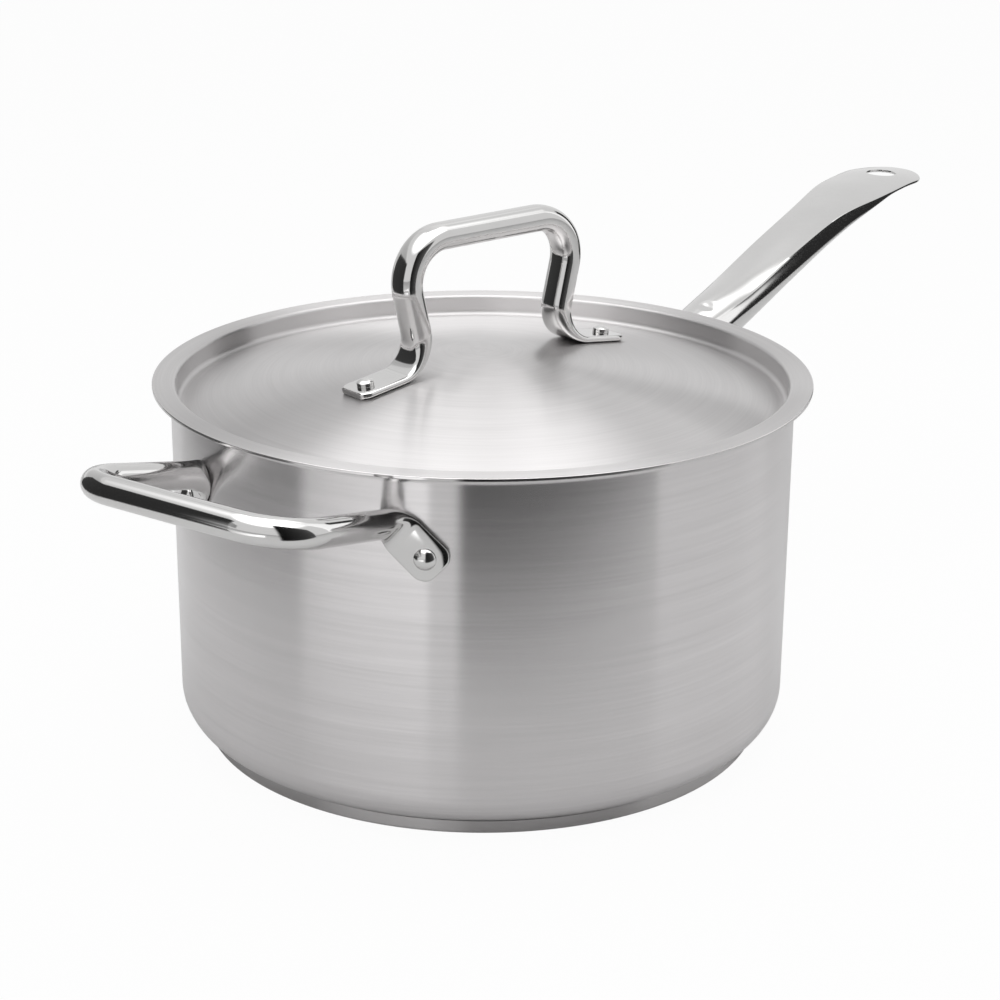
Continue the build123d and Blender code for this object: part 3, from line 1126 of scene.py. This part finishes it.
@dataclass
class Lid:
    """The dished lid.

    Attributes:
        sheet: Thickness of the sheet.
        flange_radius: Radius of the flat flange.
        flange_top: Height of the flange.
        skirt_inside: Inner radius of the skirt.
        skirt_bend: Bend under the flange.
        gutter_level: Height of the gutter.
        gutter_foot: Radius where the gutter ends.
        gutter_bend: Bend on the gutter's outer side.
        gutter_blend: Bend on its inner side.
        tip: Height of the cone's tip, before it is rounded.
        crown: Radius within which the tip is rounded.
        cone_radius: Radius of the cone's foot.
        cone_foot: Height of the cone's foot.
        shoulder: Radius of the shoulder below the cone.
        lip: Rounding of the flange's edge.
        turned: Length by which the flange's edge is turned down.
        crown_steps: Steps from the tip to the cone.
        pitch: Longest step along the outline.
        sides: Steps in a full turn.
    """

    sheet: float = 0.0007
    flange_radius: float = 0.1279
    flange_top: float = 0.1428
    skirt_inside: float = 0.1188
    skirt_bend: float = 0.0007
    gutter_level: float = 0.1343
    gutter_foot: float = 0.1155
    gutter_bend: float = 0.002
    gutter_blend: float = 0.006
    tip: float = 0.154
    crown: float = 0.018
    cone_radius: float = 0.084
    cone_foot: float = 0.142446
    shoulder: float = 0.25
    lip: float = 0.0003
    turned: float = 0.0006
    crown_steps: int = 8
    pitch: float = 0.008
    sides: int = 320

    @property
    def slope(self) -> float:
        """Fall of the cone for each unit of reach."""
        return (self.tip - self.cone_foot) / self.cone_radius

    def build(self) -> bpy.types.Mesh:
        """Turn the lid from its tip over the flange and back below.

        Returns:
            The lid's mesh.
        """
        under = self.flange_top - self.sheet
        skirt = self.skirt_inside + self.sheet
        corners = flat(
            (self.crown, self.tip - self.slope * self.crown),
            (self.cone_radius, self.cone_foot),
            (self.gutter_foot, self.gutter_level),
            (self.skirt_inside, self.gutter_level),
            (self.skirt_inside, self.flange_top),
            (self.flange_radius, self.flange_top),
            (self.flange_radius, under - self.turned),
            (self.flange_radius - self.sheet, under - self.turned),
            (self.flange_radius - self.sheet, under),
            (skirt, under),
            (skirt, self.gutter_level - self.sheet),
            (self.gutter_foot, self.gutter_level - self.sheet),
            (self.cone_radius, self.cone_foot - self.sheet),
            (self.crown, self.tip - self.slope * self.crown - self.sheet),
        )
        outer = self.skirt_bend + self.sheet
        bends = [self.shoulder, self.gutter_blend, self.gutter_bend, outer]
        bends += [self.lip, self.lip, self.lip, self.lip / 2]
        bends += [self.skirt_bend, self.gutter_bend + self.sheet]
        bends += [self.gutter_blend + self.sheet, self.shoulder - self.sheet]
        outline = rounded_outline(corners, bends, self.pitch)
        top = self._crown_points()
        under_top = [at - UP * self.sheet for at in reversed(top)]
        return lathe("lid_shell_mesh", top + outline + under_top, self.sides)

    def _crown_points(self) -> list[Vector]:
        """Round the tip by a bow that runs into the cone.

        Returns:
            Points from the axis outwards.
        """
        points = []
        for k in range(self.crown_steps):
            reach = self.crown * k / self.crown_steps
            fall = self.slope * (self.crown + reach * reach / self.crown) / 2
            points.append(Vector((reach, 0.0, self.tip - fall)))
        return points

    def dress(self, finishes: Finishes) -> None:
        """Show the lid."""
        show("lid_shell_brushed", self.build(), finishes.lid, "lid", "lid_steel", "lid_shell")


@dataclass
class LidHandle:
    """The bow on the lid: an oval tube with two pressed lugs and two rivets.

    Attributes:
        lid: The lid that carries it.
        turn: Direction of the bow, in degrees from the long handle.
        offset: How far its middle stands from the lid's middle.
        tube: Width and depth of the tube.
        level: Height of the middle of the grip.
        grip_half: Half the length of the grip, to its corners.
        grip_bend: Bend at the grip's ends.
        waist_half: Half the distance between the feet.
        waist_bend: Bend at the feet.
        lug_reach: Reach of the lug's tip from the middle of the bow.
        rivet_reach: Reach of the rivets.
        rivet: The rivets.
        seat_gap: Gap between lug and lid.
        lug: The flat end.
        sides: Points round the tube.
    """

    lid: Lid
    turn: float = -13.6
    offset: float = 0.0026
    tube: tuple[float, float] = (0.013, 0.0101)
    level: float = 0.2001
    grip_half: float = 0.0447
    grip_bend: float = 0.0164
    waist_half: float = 0.0326
    waist_bend: float = 0.0134
    lug_reach: float = 0.067
    rivet_reach: float = 0.06
    rivet: Rivet = field(
        default_factory=lambda: Rivet(head=0.0033, shank=0.002, rim=0.0015, slack=0.0001)
    )
    seat_gap: float = 0.00005
    lug: Lug = field(
        default_factory=lambda: Lug(width=0.0158, sheet=0.0026, end=0.0126, clip=0.0032)
    )
    sides: int = 72

    @property
    def tilt(self) -> float:
        """Slope of the lid under the lugs, in radians."""
        return math.atan(self.lid.slope)

    def _way(self) -> Vector:
        """Give the direction of the bow over the lid."""
        turn = math.radians(self.turn)
        return Vector((math.cos(turn), math.sin(turn), 0.0))

    def _at(self, along: float, height: float) -> Vector:
        """Give a point in the plane of the bow."""
        return self._way() * along + UP * height

    def _on_lid(self, reach: float, rise: float) -> Vector:
        """Give a point over the lid at a reach from the middle of the bow."""
        along = reach + self.offset
        return self._at(along, self.lid.tip - self.lid.slope * abs(along) + rise)

    def _foot(self, reach: float) -> Vector:
        """Give the middle of a lug at a reach from the middle of the bow."""
        return self._on_lid(reach, (self.seat_gap + self.lug.sheet / 2) / math.cos(self.tilt))

    def build(self) -> bpy.types.Mesh:
        """Bend the tube from one lug to the other.

        Returns:
            The bow's mesh.
        """
        corners = [
            self._foot(self.lug_reach),
            self._foot(self.waist_half),
            self._at(self.offset + self.grip_half, self.level),
            self._at(self.offset - self.grip_half, self.level),
            self._foot(-self.waist_half),
            self._foot(-self.lug_reach),
        ]
        bends = [self.waist_bend, self.grip_bend, self.grip_bend, self.waist_bend]
        runs = rounded_runs(corners, bends, TUBE_PITCH)
        start = pressed_end(self.lug, runs[:2], self.tube, wrap=0.0)
        back = [[(at, -along) for at, along in reversed(run)] for run in reversed(runs)]
        stop = pressed_end(self.lug, back[:2], self.tube, wrap=0.0)
        grip = [Section(at, along, *self.tube) for at, along in joined(runs[2:-2])[1:-1]]
        end = [Section(s.at, -s.along, s.width, s.depth, s.pressed) for s in reversed(stop)]
        rings = tube_rings(start + grip + end, self._way().cross(UP), self.sides, wall=0.0)
        return skin("lid_handle_mesh", rings)

    def dress(self, finishes: Finishes) -> None:
        """Show the bow and its rivets.

        Args:
            finishes: The materials.
        """
        mesh = self.build()
        show("lid_handle_polished", mesh, finishes.handle, "lid", "handle_steel", "lid_handle")
        stack = self.lug.sheet + self.seat_gap
        for side, place in ((-1, "left"), (1, "right")):
            node = f"lid_handle_rivet_{place}"
            out = self._way() * (math.sin(self.tilt) * side) + UP * math.cos(self.tilt)
            seat = self._on_lid(side * self.rivet_reach, rise=0.0) + out * stack
            mesh = self.rivet.build(f"{node}_mesh", seat, out, stack + self.lid.sheet)
            show(f"{node}_domed", mesh, finishes.rivet, "lid", "rivet_steel", node)


@dataclass
class WallHandle:
    """A handle with a lug that is riveted to the wall of the pan.

    Attributes:
        pan: The pan that carries it.
        lug: The flat end on the wall.
        seat_gap: Gap between lug and wall.
        rivet: Its rivets.
    """

    pan: Pan
    lug: Lug
    seat_gap: float = 0.00005
    rivet: Rivet = field(
        default_factory=lambda: Rivet(head=0.004, shank=0.0025, rim=0.0004, slack=0.00015)
    )

    @property
    def middle(self) -> float:
        """Radius of the middle of a lug."""
        return self.pan.radius + self.seat_gap + self.lug.sheet / 2

    @property
    def face(self) -> float:
        """Radius of the outer face of a lug."""
        return self.pan.radius + self.seat_gap + self.lug.sheet

    def dress_rivet(self, node: str, ahead: Vector, finishes: Finishes) -> None:
        """Show one rivet of a lug.

        Args:
            node: The CAD node it stands for.
            ahead: A point at its height, in the direction it points in.
            finishes: The materials.
        """
        out = Vector((ahead.x, ahead.y, 0.0)).normalized()
        seat = out * self.face + UP * ahead.z
        metal = self.lug.sheet + self.seat_gap + self.pan.wall
        mesh = self.rivet.build(f"{node}_mesh", seat, out, metal)
        show(f"{node}_domed", mesh, finishes.rivet, "pan", "rivet_steel", node)


@dataclass
class SideHandle(WallHandle):
    """The helper loop: a round tube with two lugs pressed on the wall, and two rivets.

    Attributes:
        lug: The flat end.
        tube: Diameter of the tube.
        reach: How far the loop stands out from the wall, to its middle.
        level: Height of the middle of the bar.
        grip_half: Half the length of the bar, to its corners.
        grip_bend: Bend at the bar's ends.
        foot_arc: Place of the feet along the wall.
        foot_level: Height of the feet.
        foot_bend: Bend at the feet.
        lug_run: Length of the lugs along the wall.
        lug_fall: Fall of the lugs.
        rivet_inset: Place of the rivets from the tips.
        sides: Points round the tube.
    """

    lug: Lug = field(
        default_factory=lambda: Lug(
            width=0.0162,
            sheet=0.0026,
            end=0.0104,
            clip=0.0032,
            corner=0.0012,
            crisp=5.0,
            pressed=0.35,
        )
    )
    tube: float = 0.0106
    reach: float = 0.054798
    level: float = 0.1372
    grip_half: float = 0.0481
    grip_bend: float = 0.0182
    foot_arc: float = 0.0439
    foot_level: float = 0.1232
    foot_bend: float = 0.011
    lug_run: float = 0.0171
    lug_fall: float = 0.0168
    rivet_inset: float = 0.007
    sides: int = 64

    def _on_wall(self, arc: float, height: float) -> Vector:
        """Give the middle of a lug at an arc along the wall."""
        turn = arc / self.pan.radius
        return Vector((-self.middle * math.cos(turn), self.middle * math.sin(turn), height))

    def _lug_line(self) -> tuple[Vector, Vector]:
        """Give the tip and the foot of the left lug."""
        tip = self._on_wall(self.foot_arc + self.lug_run, self.foot_level - self.lug_fall)
        return tip, self._on_wall(self.foot_arc, self.foot_level)

    def _rivet_place(self) -> Vector:
        """Give the place of the left rivet in the middle of its lug."""
        tip, foot = self._lug_line()
        return tip + (foot - tip).normalized() * self.rivet_inset

    def build(self) -> bpy.types.Mesh:
        """Bend one half of the loop and mirror it at the middle of the bar.

        Returns:
            The loop's mesh.
        """
        tip, foot = self._lug_line()
        corner = Vector((-self.pan.radius - self.reach, self.grip_half, self.level))
        corners = [tip, foot, corner, Vector((corner.x, 0.0, corner.z))]
        runs = rounded_runs(corners, [self.foot_bend, self.grip_bend], TUBE_PITCH)
        tube = (self.tube, self.tube)
        half = pressed_end(self.lug, runs[:2], tube, wrap=1.0)
        half += [Section(at, along, *tube) for at, along in joined(runs[2:])[1:]]
        out = self._rivet_place()
        out.z = 0.0
        across = (tip - foot).cross(out).normalized()
        near = tube_rings(half, across, self.sides, self.middle)
        mirror = Vector((1.0, -1.0, 1.0))
        far = [[point * mirror for point in ring] for ring in reversed(near[:-1])]
        return skin("side_handle_mesh", near + far)

    def dress(self, finishes: Finishes) -> None:
        """Show the loop and its rivets.

        Args:
            finishes: The materials.
        """
        mesh = self.build()
        show("side_handle_polished", mesh, finishes.handle, "pan", "handle_steel", "side_handle")
        at = self._rivet_place()
        for side, place in ((1, "left"), (-1, "right")):
            ahead = Vector((at.x, side * at.y, at.z))
            self.dress_rivet(f"side_handle_rivet_{place}", ahead, finishes)


@dataclass
class LongHandle(WallHandle):
    """The long handle: a tube that widens into a flat end with a hanging hole, and three rivets.

    Attributes:
        lug: The flat root.
        root_level: Height where the line of the tube meets the lug.
        root_bend: Bend at the root.
        stations: Places along the grip, from the full tube to the flat end.
        neck_tilt: Tilt of the sections at the neck, in radians.
        upright: Reaches between which the sections turn upright.
        creased: Reaches between which the top is pressed flat.
        rolled: Reaches between which the end rolls.
        end_roll: Roll of the flat end, in degrees.
        bow: Curvature across its pressed top, per metre.
        hole_reach: Reach of the hanging hole from the pan's axis.
        hole_radius: Radius of the hanging hole.
        hole_lip: Rounding of its edges.
        hole_sides: Steps round it.
        lip_steps: Steps over a rounded edge.
        lip_turn: Angle of that edge, in degrees, before it runs out into the face.
        punch_reach: How far the punch stands out on both sides.
        end_length: Length of the end past the hole.
        end_sheet: Thickness of the flat end.
        lug_depth: Depth of the lug below the root.
        rivet_drop: Depth of the upper rivets below the root.
        rivet_pitch: Depth of the lower rivet below them.
        rivet_spread: Distance of the upper rivets from the middle.
        step: Longest step along the handle.
        sides: Points round the tube.
        end_steps: Sections in the rounded end.
        dimple: Middle of the press mark near the root.
        dimple_radius: Reach of that mark.
        dimple_depth: Its depth.
    """

    lug: Lug = field(default_factory=lambda: Lug(width=0.035, sheet=0.0032, end=0.02, clip=0.007))
    root_level: float = 0.1105
    root_bend: float = 0.01
    stations: tuple[Station, ...] = (
        Station(0.156, 0.12, 0.0238, 0.0238),
        Station(0.19, 0.1297, 0.0262, 0.02),
        Station(0.228, 0.142, 0.0286, 0.0152),
        Station(0.27, 0.154, 0.0305, 0.0115),
        Station(0.302, 0.1623, 0.0366, 0.004),
        Station(0.316, 0.1647, 0.0374, 0.0015),
        Station(0.34, 0.1657, 0.0374, 0.0014),
        Station(0.37, 0.1638, 0.0374, 0.0014),
    )
    neck_tilt: float = 0.28
    upright: tuple[float, float] = (0.156, 0.2)
    creased: tuple[float, float] = (0.175, 0.228)
    rolled: tuple[float, float] = (0.28, 0.312)
    end_roll: float = 1.2
    bow: float = 5.5
    hole_reach: float = 0.3392
    hole_radius: float = 0.0073
    hole_lip: float = 0.0003
    hole_sides: int = 96
    lip_steps: int = 5
    lip_turn: float = 65.0
    punch_reach: float = 0.01
    end_length: float = 0.02099
    end_sheet: float = 0.0014
    lug_depth: float = 0.04
    rivet_drop: float = 0.016
    rivet_pitch: float = 0.014
    rivet_spread: float = 0.0095
    step: float = 0.001
    sides: int = 112
    end_steps: int = 36
    dimple: tuple[float, float, float] = (0.1676, -0.0027, 0.1346)
    dimple_radius: float = 0.005
    dimple_depth: float = 0.0007

    def _root(self) -> list[list[Step]]:
        """Lay the line of the lug, the bend at the root and the straight tube after it.

        Returns:
            These three runs, as points and directions.
        """
        first = self.stations[0]
        corners = flat(
            (self.middle, self.root_level - self.lug_depth),
            (self.middle, self.root_level),
            (first.reach, first.level),
        )
        return rounded_runs(corners, [self.root_bend], self.step)

    def _line(self) -> list[Step]:
        """Lay the line of the handle from its root past its end.

        Returns:
            Points and directions.
        """
        reach, ahead = self.stations[0].reach, self.step / 2
        past_end = self.hole_reach + self.end_length + 4 * self.step
        line = []
        while reach < past_end:
            level = between(self.stations, reach).level
            rise = between(self.stations, reach + ahead).level - level
            line.append((Vector((reach, 0.0, level)), Vector((ahead, 0.0, rise)).normalized()))
            reach += self.step
        return line

    def _body_section(self, at: Vector) -> Section:
        """Make a section of the handle, upright from the neck on.

        Args:
            at: A point of the handle's line.

        Returns:
            The section there.
        """
        place = between(self.stations, at.x)
        past = max(at.x - self.hole_reach, 0.0) / self.end_length
        width = place.width * math.sqrt(max(1 - past * past, 0.0))
        left = min((self.hole_reach + self.end_length - at.x) / (place.depth / 2), 1.0)
        depth = place.depth * math.sqrt(max(1 - (1 - left) ** 2, 0.0))
        tilt = self.neck_tilt * (1 - ramped(at.x, *self.upright))
        along = Vector((math.cos(tilt), 0.0, math.sin(tilt)))
        roll = math.radians(self.end_roll) * ramped(at.x, *self.rolled)
        pressed = ramped(at.x, *self.creased)
        bow = self.bow * pressed
        return Section(at, along, width, depth, pressed, roll=roll, creased=True, bow=bow)

    def build(self) -> bpy.types.Mesh:
        """Draw the tube, press its ends and punch the hanging hole.

        Returns:
            The handle's mesh.
        """
        runs = self._root()
        sections = self.lug.sections(runs[0], wrap=1.0)
        size = (self.lug.width, self.lug.sheet)
        sections += [Section(at, along, *size, pressed=1.0, wrap=1.0) for at, along in runs[1][1:]]
        root, full = runs[1][-1][0].x, self.stations[0]
        for at, along in runs[2][1:-1]:
            share = 1 - eased((at.x - root) / (full.reach - root))
            width = full.width + (self.lug.width - full.width) * share
            depth = full.depth + (self.lug.sheet - full.depth) * share
            sections.append(Section(at, along, width, depth, share, share))
        line = self._line()
        sections += [self._body_section(at) for at, _ in line if at.x < self.hole_reach]
        for k in range(self.end_steps):
            swing = math.pi / 2 * k / self.end_steps
            at, _ = self._at_reach(line, self.hole_reach + self.end_length * math.sin(swing))
            sections.append(self._body_section(at))
        rings = tube_rings(sections, Vector((0.0, -1.0, 0.0)), self.sides, self.middle)
        mark = Vector(self.dimple)
        for ring in rings:
            for point in ring:
                near = 1 - (point - mark).length / self.dimple_radius
                if near > 0:
                    point.z -= self.dimple_depth * eased(near)
        mesh = skin("long_handle_mesh", rings)
        return self._punched(mesh, *self._at_reach(line, self.hole_reach))

    @staticmethod
    def _at_reach(line: Sequence[Step], reach: float) -> Step:
        """Find the point and direction of the handle's line at a reach.

        Args:
            line: The handle's line.
            reach: Distance from the pan's axis.

        Returns:
            The point and direction.
        """
        for (low, along), (high, after) in zip(line, line[1:]):
            if high.x >= reach:
                share = (reach - low.x) / (high.x - low.x)
                return low.lerp(high, share), along.lerp(after, share).normalized()
        return line[-1]

    def _punched(self, mesh: bpy.types.Mesh, at: Vector, along: Vector) -> bpy.types.Mesh:
        """Punch the hanging hole, with its edges rolled over.

        Args:
            mesh: The handle without the hole.
            at: Middle of the hole.
            along: Direction of the handle there.

        Returns:
            The handle with the hole.
        """
        half, lip, far = self.end_sheet / 2, self.hole_lip, self.punch_reach
        side = [(self.hole_radius, 0.0)]
        for k in range(self.lip_steps + 1):
            swing = math.radians(self.lip_turn * k / self.lip_steps)
            rise = half - lip + lip * math.sin(swing)
            side.append((self.hole_radius + lip * (1 - math.cos(swing)), rise))
        side.append((side[-1][0] + lip, half + lip))
        side += [(side[-1][0], far), (0.0, far)]
        outline = [(radius, -rise) for radius, rise in reversed(side)] + side[1:]
        punch = lathe("punch", flat(*outline), self.hole_sides)
        across = Quaternion(along, math.radians(self.end_roll)) @ Vector((0.0, 1.0, 0.0))
        turn = UP.rotation_difference(across.cross(-along))
        punch.transform(Matrix.Translation(at) @ turn.to_matrix().to_4x4())
        return cut(mesh, punch)

    def dress(self, finishes: Finishes) -> None:
        """Show the handle and its rivets.

        Args:
            finishes: The materials.
        """
        mesh = self.build()
        show("long_handle_polished", mesh, finishes.handle, "pan", "handle_steel", "long_handle")
        upper = self.root_level - self.rivet_drop
        places = {
            "upper_left": (self.rivet_spread, upper),
            "upper_right": (-self.rivet_spread, upper),
            "lower": (0.0, upper - self.rivet_pitch),
        }
        for place, (spread, height) in places.items():
            ahead = Vector((self.face, spread, height))
            self.dress_rivet(f"long_handle_rivet_{place}", ahead, finishes)


@dataclass
class PhotoCamera:
    """The camera of the photograph.

    Attributes:
        place: Where it stands.
        target: The point it looks at.
        lens: Focal length in millimetres.
        sensor: Width of the sensor in millimetres.
        far: How far it sees.
        shift: Sideways shift of the frame.
        roll: Turn about its own axis, in degrees.
    """

    place: tuple[float, float, float] = (-0.7081, -0.5088, 0.3994)
    target: tuple[float, float, float] = (0.0, 0.0, 0.08989)
    lens: float = 83.8
    sensor: float = 36.0
    far: float = 50.0
    shift: float = 0.01789
    roll: float = 0.262

    def build(self) -> None:
        """Put the camera in the scene."""
        data = bpy.data.cameras.new("photo_camera")
        data.sensor_width = self.sensor
        data.lens = self.lens
        data.shift_x = self.shift
        data.clip_end = self.far
        camera = bpy.data.objects.new("photo_camera", data)
        place = Vector(self.place)
        facing = (Vector(self.target) - place).to_track_quat("-Z", "Y")
        spin = Quaternion(UP, math.radians(self.roll))
        camera.location = place
        camera.rotation_euler = (facing @ spin).to_euler()
        link(camera)
        bpy.context.scene.camera = camera


@dataclass
class Card:
    """An upright studio card, which only reflections show.

    Attributes:
        name: Name of the card.
        start: One end, as distances to the right of the pan's middle and behind it.
        stop: The other end.
        foot: Height of its lower edge.
        top: Height of its upper edge.
        levels: Brightness of its face at both ends.
        soft: Width of its faded edges.
        lean: How far its foot stands nearer to the pan than its top.
    """

    name: str
    start: tuple[float, float]
    stop: tuple[float, float]
    foot: float
    top: float
    levels: tuple[float, float]
    soft: float = 0.02
    lean: float = 0.0

    def build(self, right: Vector, behind: Vector) -> None:
        """Stand the card beside the pan.

        Args:
            right: Level direction to the right in the photograph.
            behind: Level direction away from the camera.
        """
        ends = [right * across + behind * back for across, back in (self.start, self.stop)]
        inward = (ends[1] - ends[0]).cross(UP).normalized()
        inward *= -math.copysign(self.lean, inward.dot(ends[0] + ends[1]))
        feet = [end + inward + UP * self.foot for end in ends]
        points = [*feet, ends[1] + UP * self.top, ends[0] + UP * self.top]
        mesh = bpy.data.meshes.new(self.name)
        mesh.from_pydata([tuple(point) for point in points], [], [[0, 1, 2, 3]])
        mesh.materials.append(self._face(ends[0], ends[1] - ends[0]))
        card = bpy.data.objects.new(self.name, mesh)
        card.visible_camera = False
        card.visible_diffuse = False
        card.visible_shadow = False
        link(card)

    def _face(self, start: Vector, span: Vector) -> bpy.types.Material:
        """Make the card's face, which fades out at the edges.

        Args:
            start: One end of the card, on the floor.
            span: The way from there to the other end.

        Returns:
            The material.
        """
        made, graph = new_material(self.name)
        offset = graph.vector_maths("SUBTRACT", graph.object_place(), tuple(start))
        along = graph.vector_maths("DOT_PRODUCT", offset, tuple(span.normalized()), output="Value")
        height = graph.vector_maths("DOT_PRODUCT", offset, tuple(UP), output="Value")
        shades = [(level, level, level) for level in self.levels]
        colour = graph.mix_colours(along * (1 / span.length), *shades)
        edges = (along, span.length - along, self.top - height, height - self.foot)
        fades = [graph.ramp(edge, (0.0, self.soft), (0.0, 1.0)) for edge in edges]
        mask = math.prod(fades[1:], start=fades[0])
        glow = graph.node("ShaderNodeEmission", {}, {"Color": colour, "Strength": 1.0})
        gone = graph.node("ShaderNodeBsdfTransparent", {}, {})
        surface(graph, graph.node("ShaderNodeMixShader", {}, {0: mask, 1: gone, 2: glow}))
        return made


@dataclass
class Studio:
    """A pale floor, a white surround, one soft lamp and the cards that the polish reflects.

    Attributes:
        camera: The camera that the cards are placed from.
        floor_radius: Radius of the floor.
        floor_sides: Steps round it.
        floor_drop: How far the floor lies under the base.
        floor_colour: Colour of the floor.
        floor_glow: Share of plain white in the floor that the camera sees.
        floor_gleam: Share of plain white in the floor that a reflection shows.
        surround: Brightness of the surround in a reflection.
        overhead: Brightness of its top in a reflection.
        overhead_rise: Upward parts of a direction between which that top begins.
        ambient: Brightness of the surround as a light.
        lamp_height: Height of the soft lamp over the floor.
        lamp_size: Its width.
        lamp_power: Its power in watts.
        cards: The cards.
    """

    camera: PhotoCamera
    floor_radius: float = 6.0
    floor_sides: int = 64
    floor_drop: float = 0.0002
    floor_colour: Colour = (0.84, 0.84, 0.84)
    floor_glow: float = 0.96
    floor_gleam: float = 0.15
    surround: float = 0.861
    overhead: float = 2.8
    overhead_rise: tuple[float, float] = (0.7, 0.89)
    ambient: float = 0.45
    lamp_height: float = 1.2
    lamp_size: float = 1.26
    lamp_power: float = 8.0
    cards: list[Card] = field(
        default_factory=lambda: [
            Card("bright_back", (-0.45, 0.62), (0.22, 0.7), 0.49, 1.72, (0.8, 1.1), 0.15),
            Card("grey_left", (-1.54, -1.07), (-0.29, 1.14), 0.2, 0.84, (0.3, 0.75), 0.1),
            Card("bright_front", (-0.45, -0.1), (-0.125, -0.465), 0.0, 0.09, (0.0, 2.1)),
            Card("bright_right", (2.07, 0.57), (0.214, 0.12), 0.14, 2.5, (1.5, 1.3)),
            Card("dark_front", (-0.044, -0.31), (0.46, -0.295), 0.01, 0.49, (0.0, 0.12)),
            Card("dark_left", (-0.42, -0.27), (-0.56, 0.34), 0.0, 0.45, (0.03, 0.06), 0.04, 0.1),
            Card("dark_right", (0.6, 0.22), (0.29, 0.36), 0.05, 0.46, (0.02, 0.04)),
        ]
    )

    def build_floor(self) -> None:
        """Lay the floor, white to the camera but for the pan's shadow."""
        mesh = bpy.data.meshes.new("studio_floor")
        ring = []
        for k in range(self.floor_sides):
            turn = 2 * math.pi * k / self.floor_sides
            across, back = self.floor_radius * math.cos(turn), self.floor_radius * math.sin(turn)
            ring.append((across, back, -self.floor_drop))
        mesh.from_pydata(ring, [], [list(range(self.floor_sides))])
        made, graph = new_material("studio_floor")
        camera, mirrored = self._seen(graph)
        plain = graph.node("ShaderNodeBsdfDiffuse", {}, {"Color": (*self.floor_colour, 1.0)})
        glow = graph.node("ShaderNodeEmission", {}, {"Color": WHITE, "Strength": 1.0})
        sockets = {0: camera * self.floor_glow + mirrored * self.floor_gleam, 1: plain, 2: glow}
        surface(graph, graph.node("ShaderNodeMixShader", {}, sockets))
        mesh.materials.append(made)
        floor = bpy.data.objects.new("studio_floor", mesh)
        link(floor)

    @staticmethod
    def _seen(graph: Graph) -> tuple[Wire, Wire]:
        """Tell camera rays, and mirrored or clear rays, from the rest.

        Args:
            graph: The tree to add to.

        Returns:
            The wires of both tests, one where they hold.
        """
        camera = graph.node("ShaderNodeLightPath", {}, {}, "Is Camera Ray")
        glossy = graph.node("ShaderNodeLightPath", {}, {}, "Is Glossy Ray")
        clear = graph.node("ShaderNodeLightPath", {}, {}, "Is Transmission Ray")
        return camera, glossy.at_least(clear)

    def build_world(self) -> None:
        """Surround the pan with white, dimmer as a light than as a backdrop."""
        world = bpy.data.worlds.new("studio_surround")
        world.use_nodes = True
        bpy.context.scene.world = world
        graph = Graph(world.node_tree)
        camera, mirrored = self._seen(graph)
        facing = graph.node("ShaderNodeTexCoord", {}, {}, "Generated")
        upward = graph.node("ShaderNodeSeparateXYZ", {}, {0: facing}, "Z")
        lit = graph.ramp(upward, self.overhead_rise, (0.0, 1.0))
        sky = self.surround - self.ambient + lit * (self.overhead - self.surround)
        strength = self.ambient + camera * (1.0 - self.ambient) + mirrored * sky
        shade = graph.node("ShaderNodeBackground", {}, {"Color": WHITE, "Strength": strength})
        graph.node("ShaderNodeOutputWorld", {}, {"Surface": shade})

    def build_lamp(self) -> None:
        """Hang the soft lamp over the pan."""
        data = bpy.data.lights.new("soft_lamp", "AREA")
        data.shape = "DISK"
        data.size = self.lamp_size
        data.energy = self.lamp_power
        lamp = bpy.data.objects.new("soft_lamp", data)
        lamp.location = UP * self.lamp_height
        lamp.visible_glossy = False
        link(lamp)

    def build(self) -> None:
        """Set up the floor, the light and the cards."""
        self.build_floor()
        self.build_world()
        self.build_lamp()
        place = Vector(self.camera.place)
        behind = -Vector((place.x, place.y, 0.0)).normalized()
        right = behind.cross(UP)
        for card in self.cards:
            card.build(right, behind)
        bpy.context.scene.view_settings.view_transform = "Standard"


def main() -> None:
    """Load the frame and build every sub-assembly in order."""
    logging.basicConfig(level=logging.INFO, format="%(name)s: %(message)s")
    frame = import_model()
    camera = PhotoCamera()
    camera.build()
    finishes = Finishes()
    pan = Pan()
    lid = Lid()
    pan.dress(finishes, frame["nodes"])
    lid.dress(finishes)
    LidHandle(lid).dress(finishes)
    SideHandle(pan).dress(finishes)
    LongHandle(pan).dress(finishes)
    Studio(camera).build()


if __name__ == "__main__":
    main()
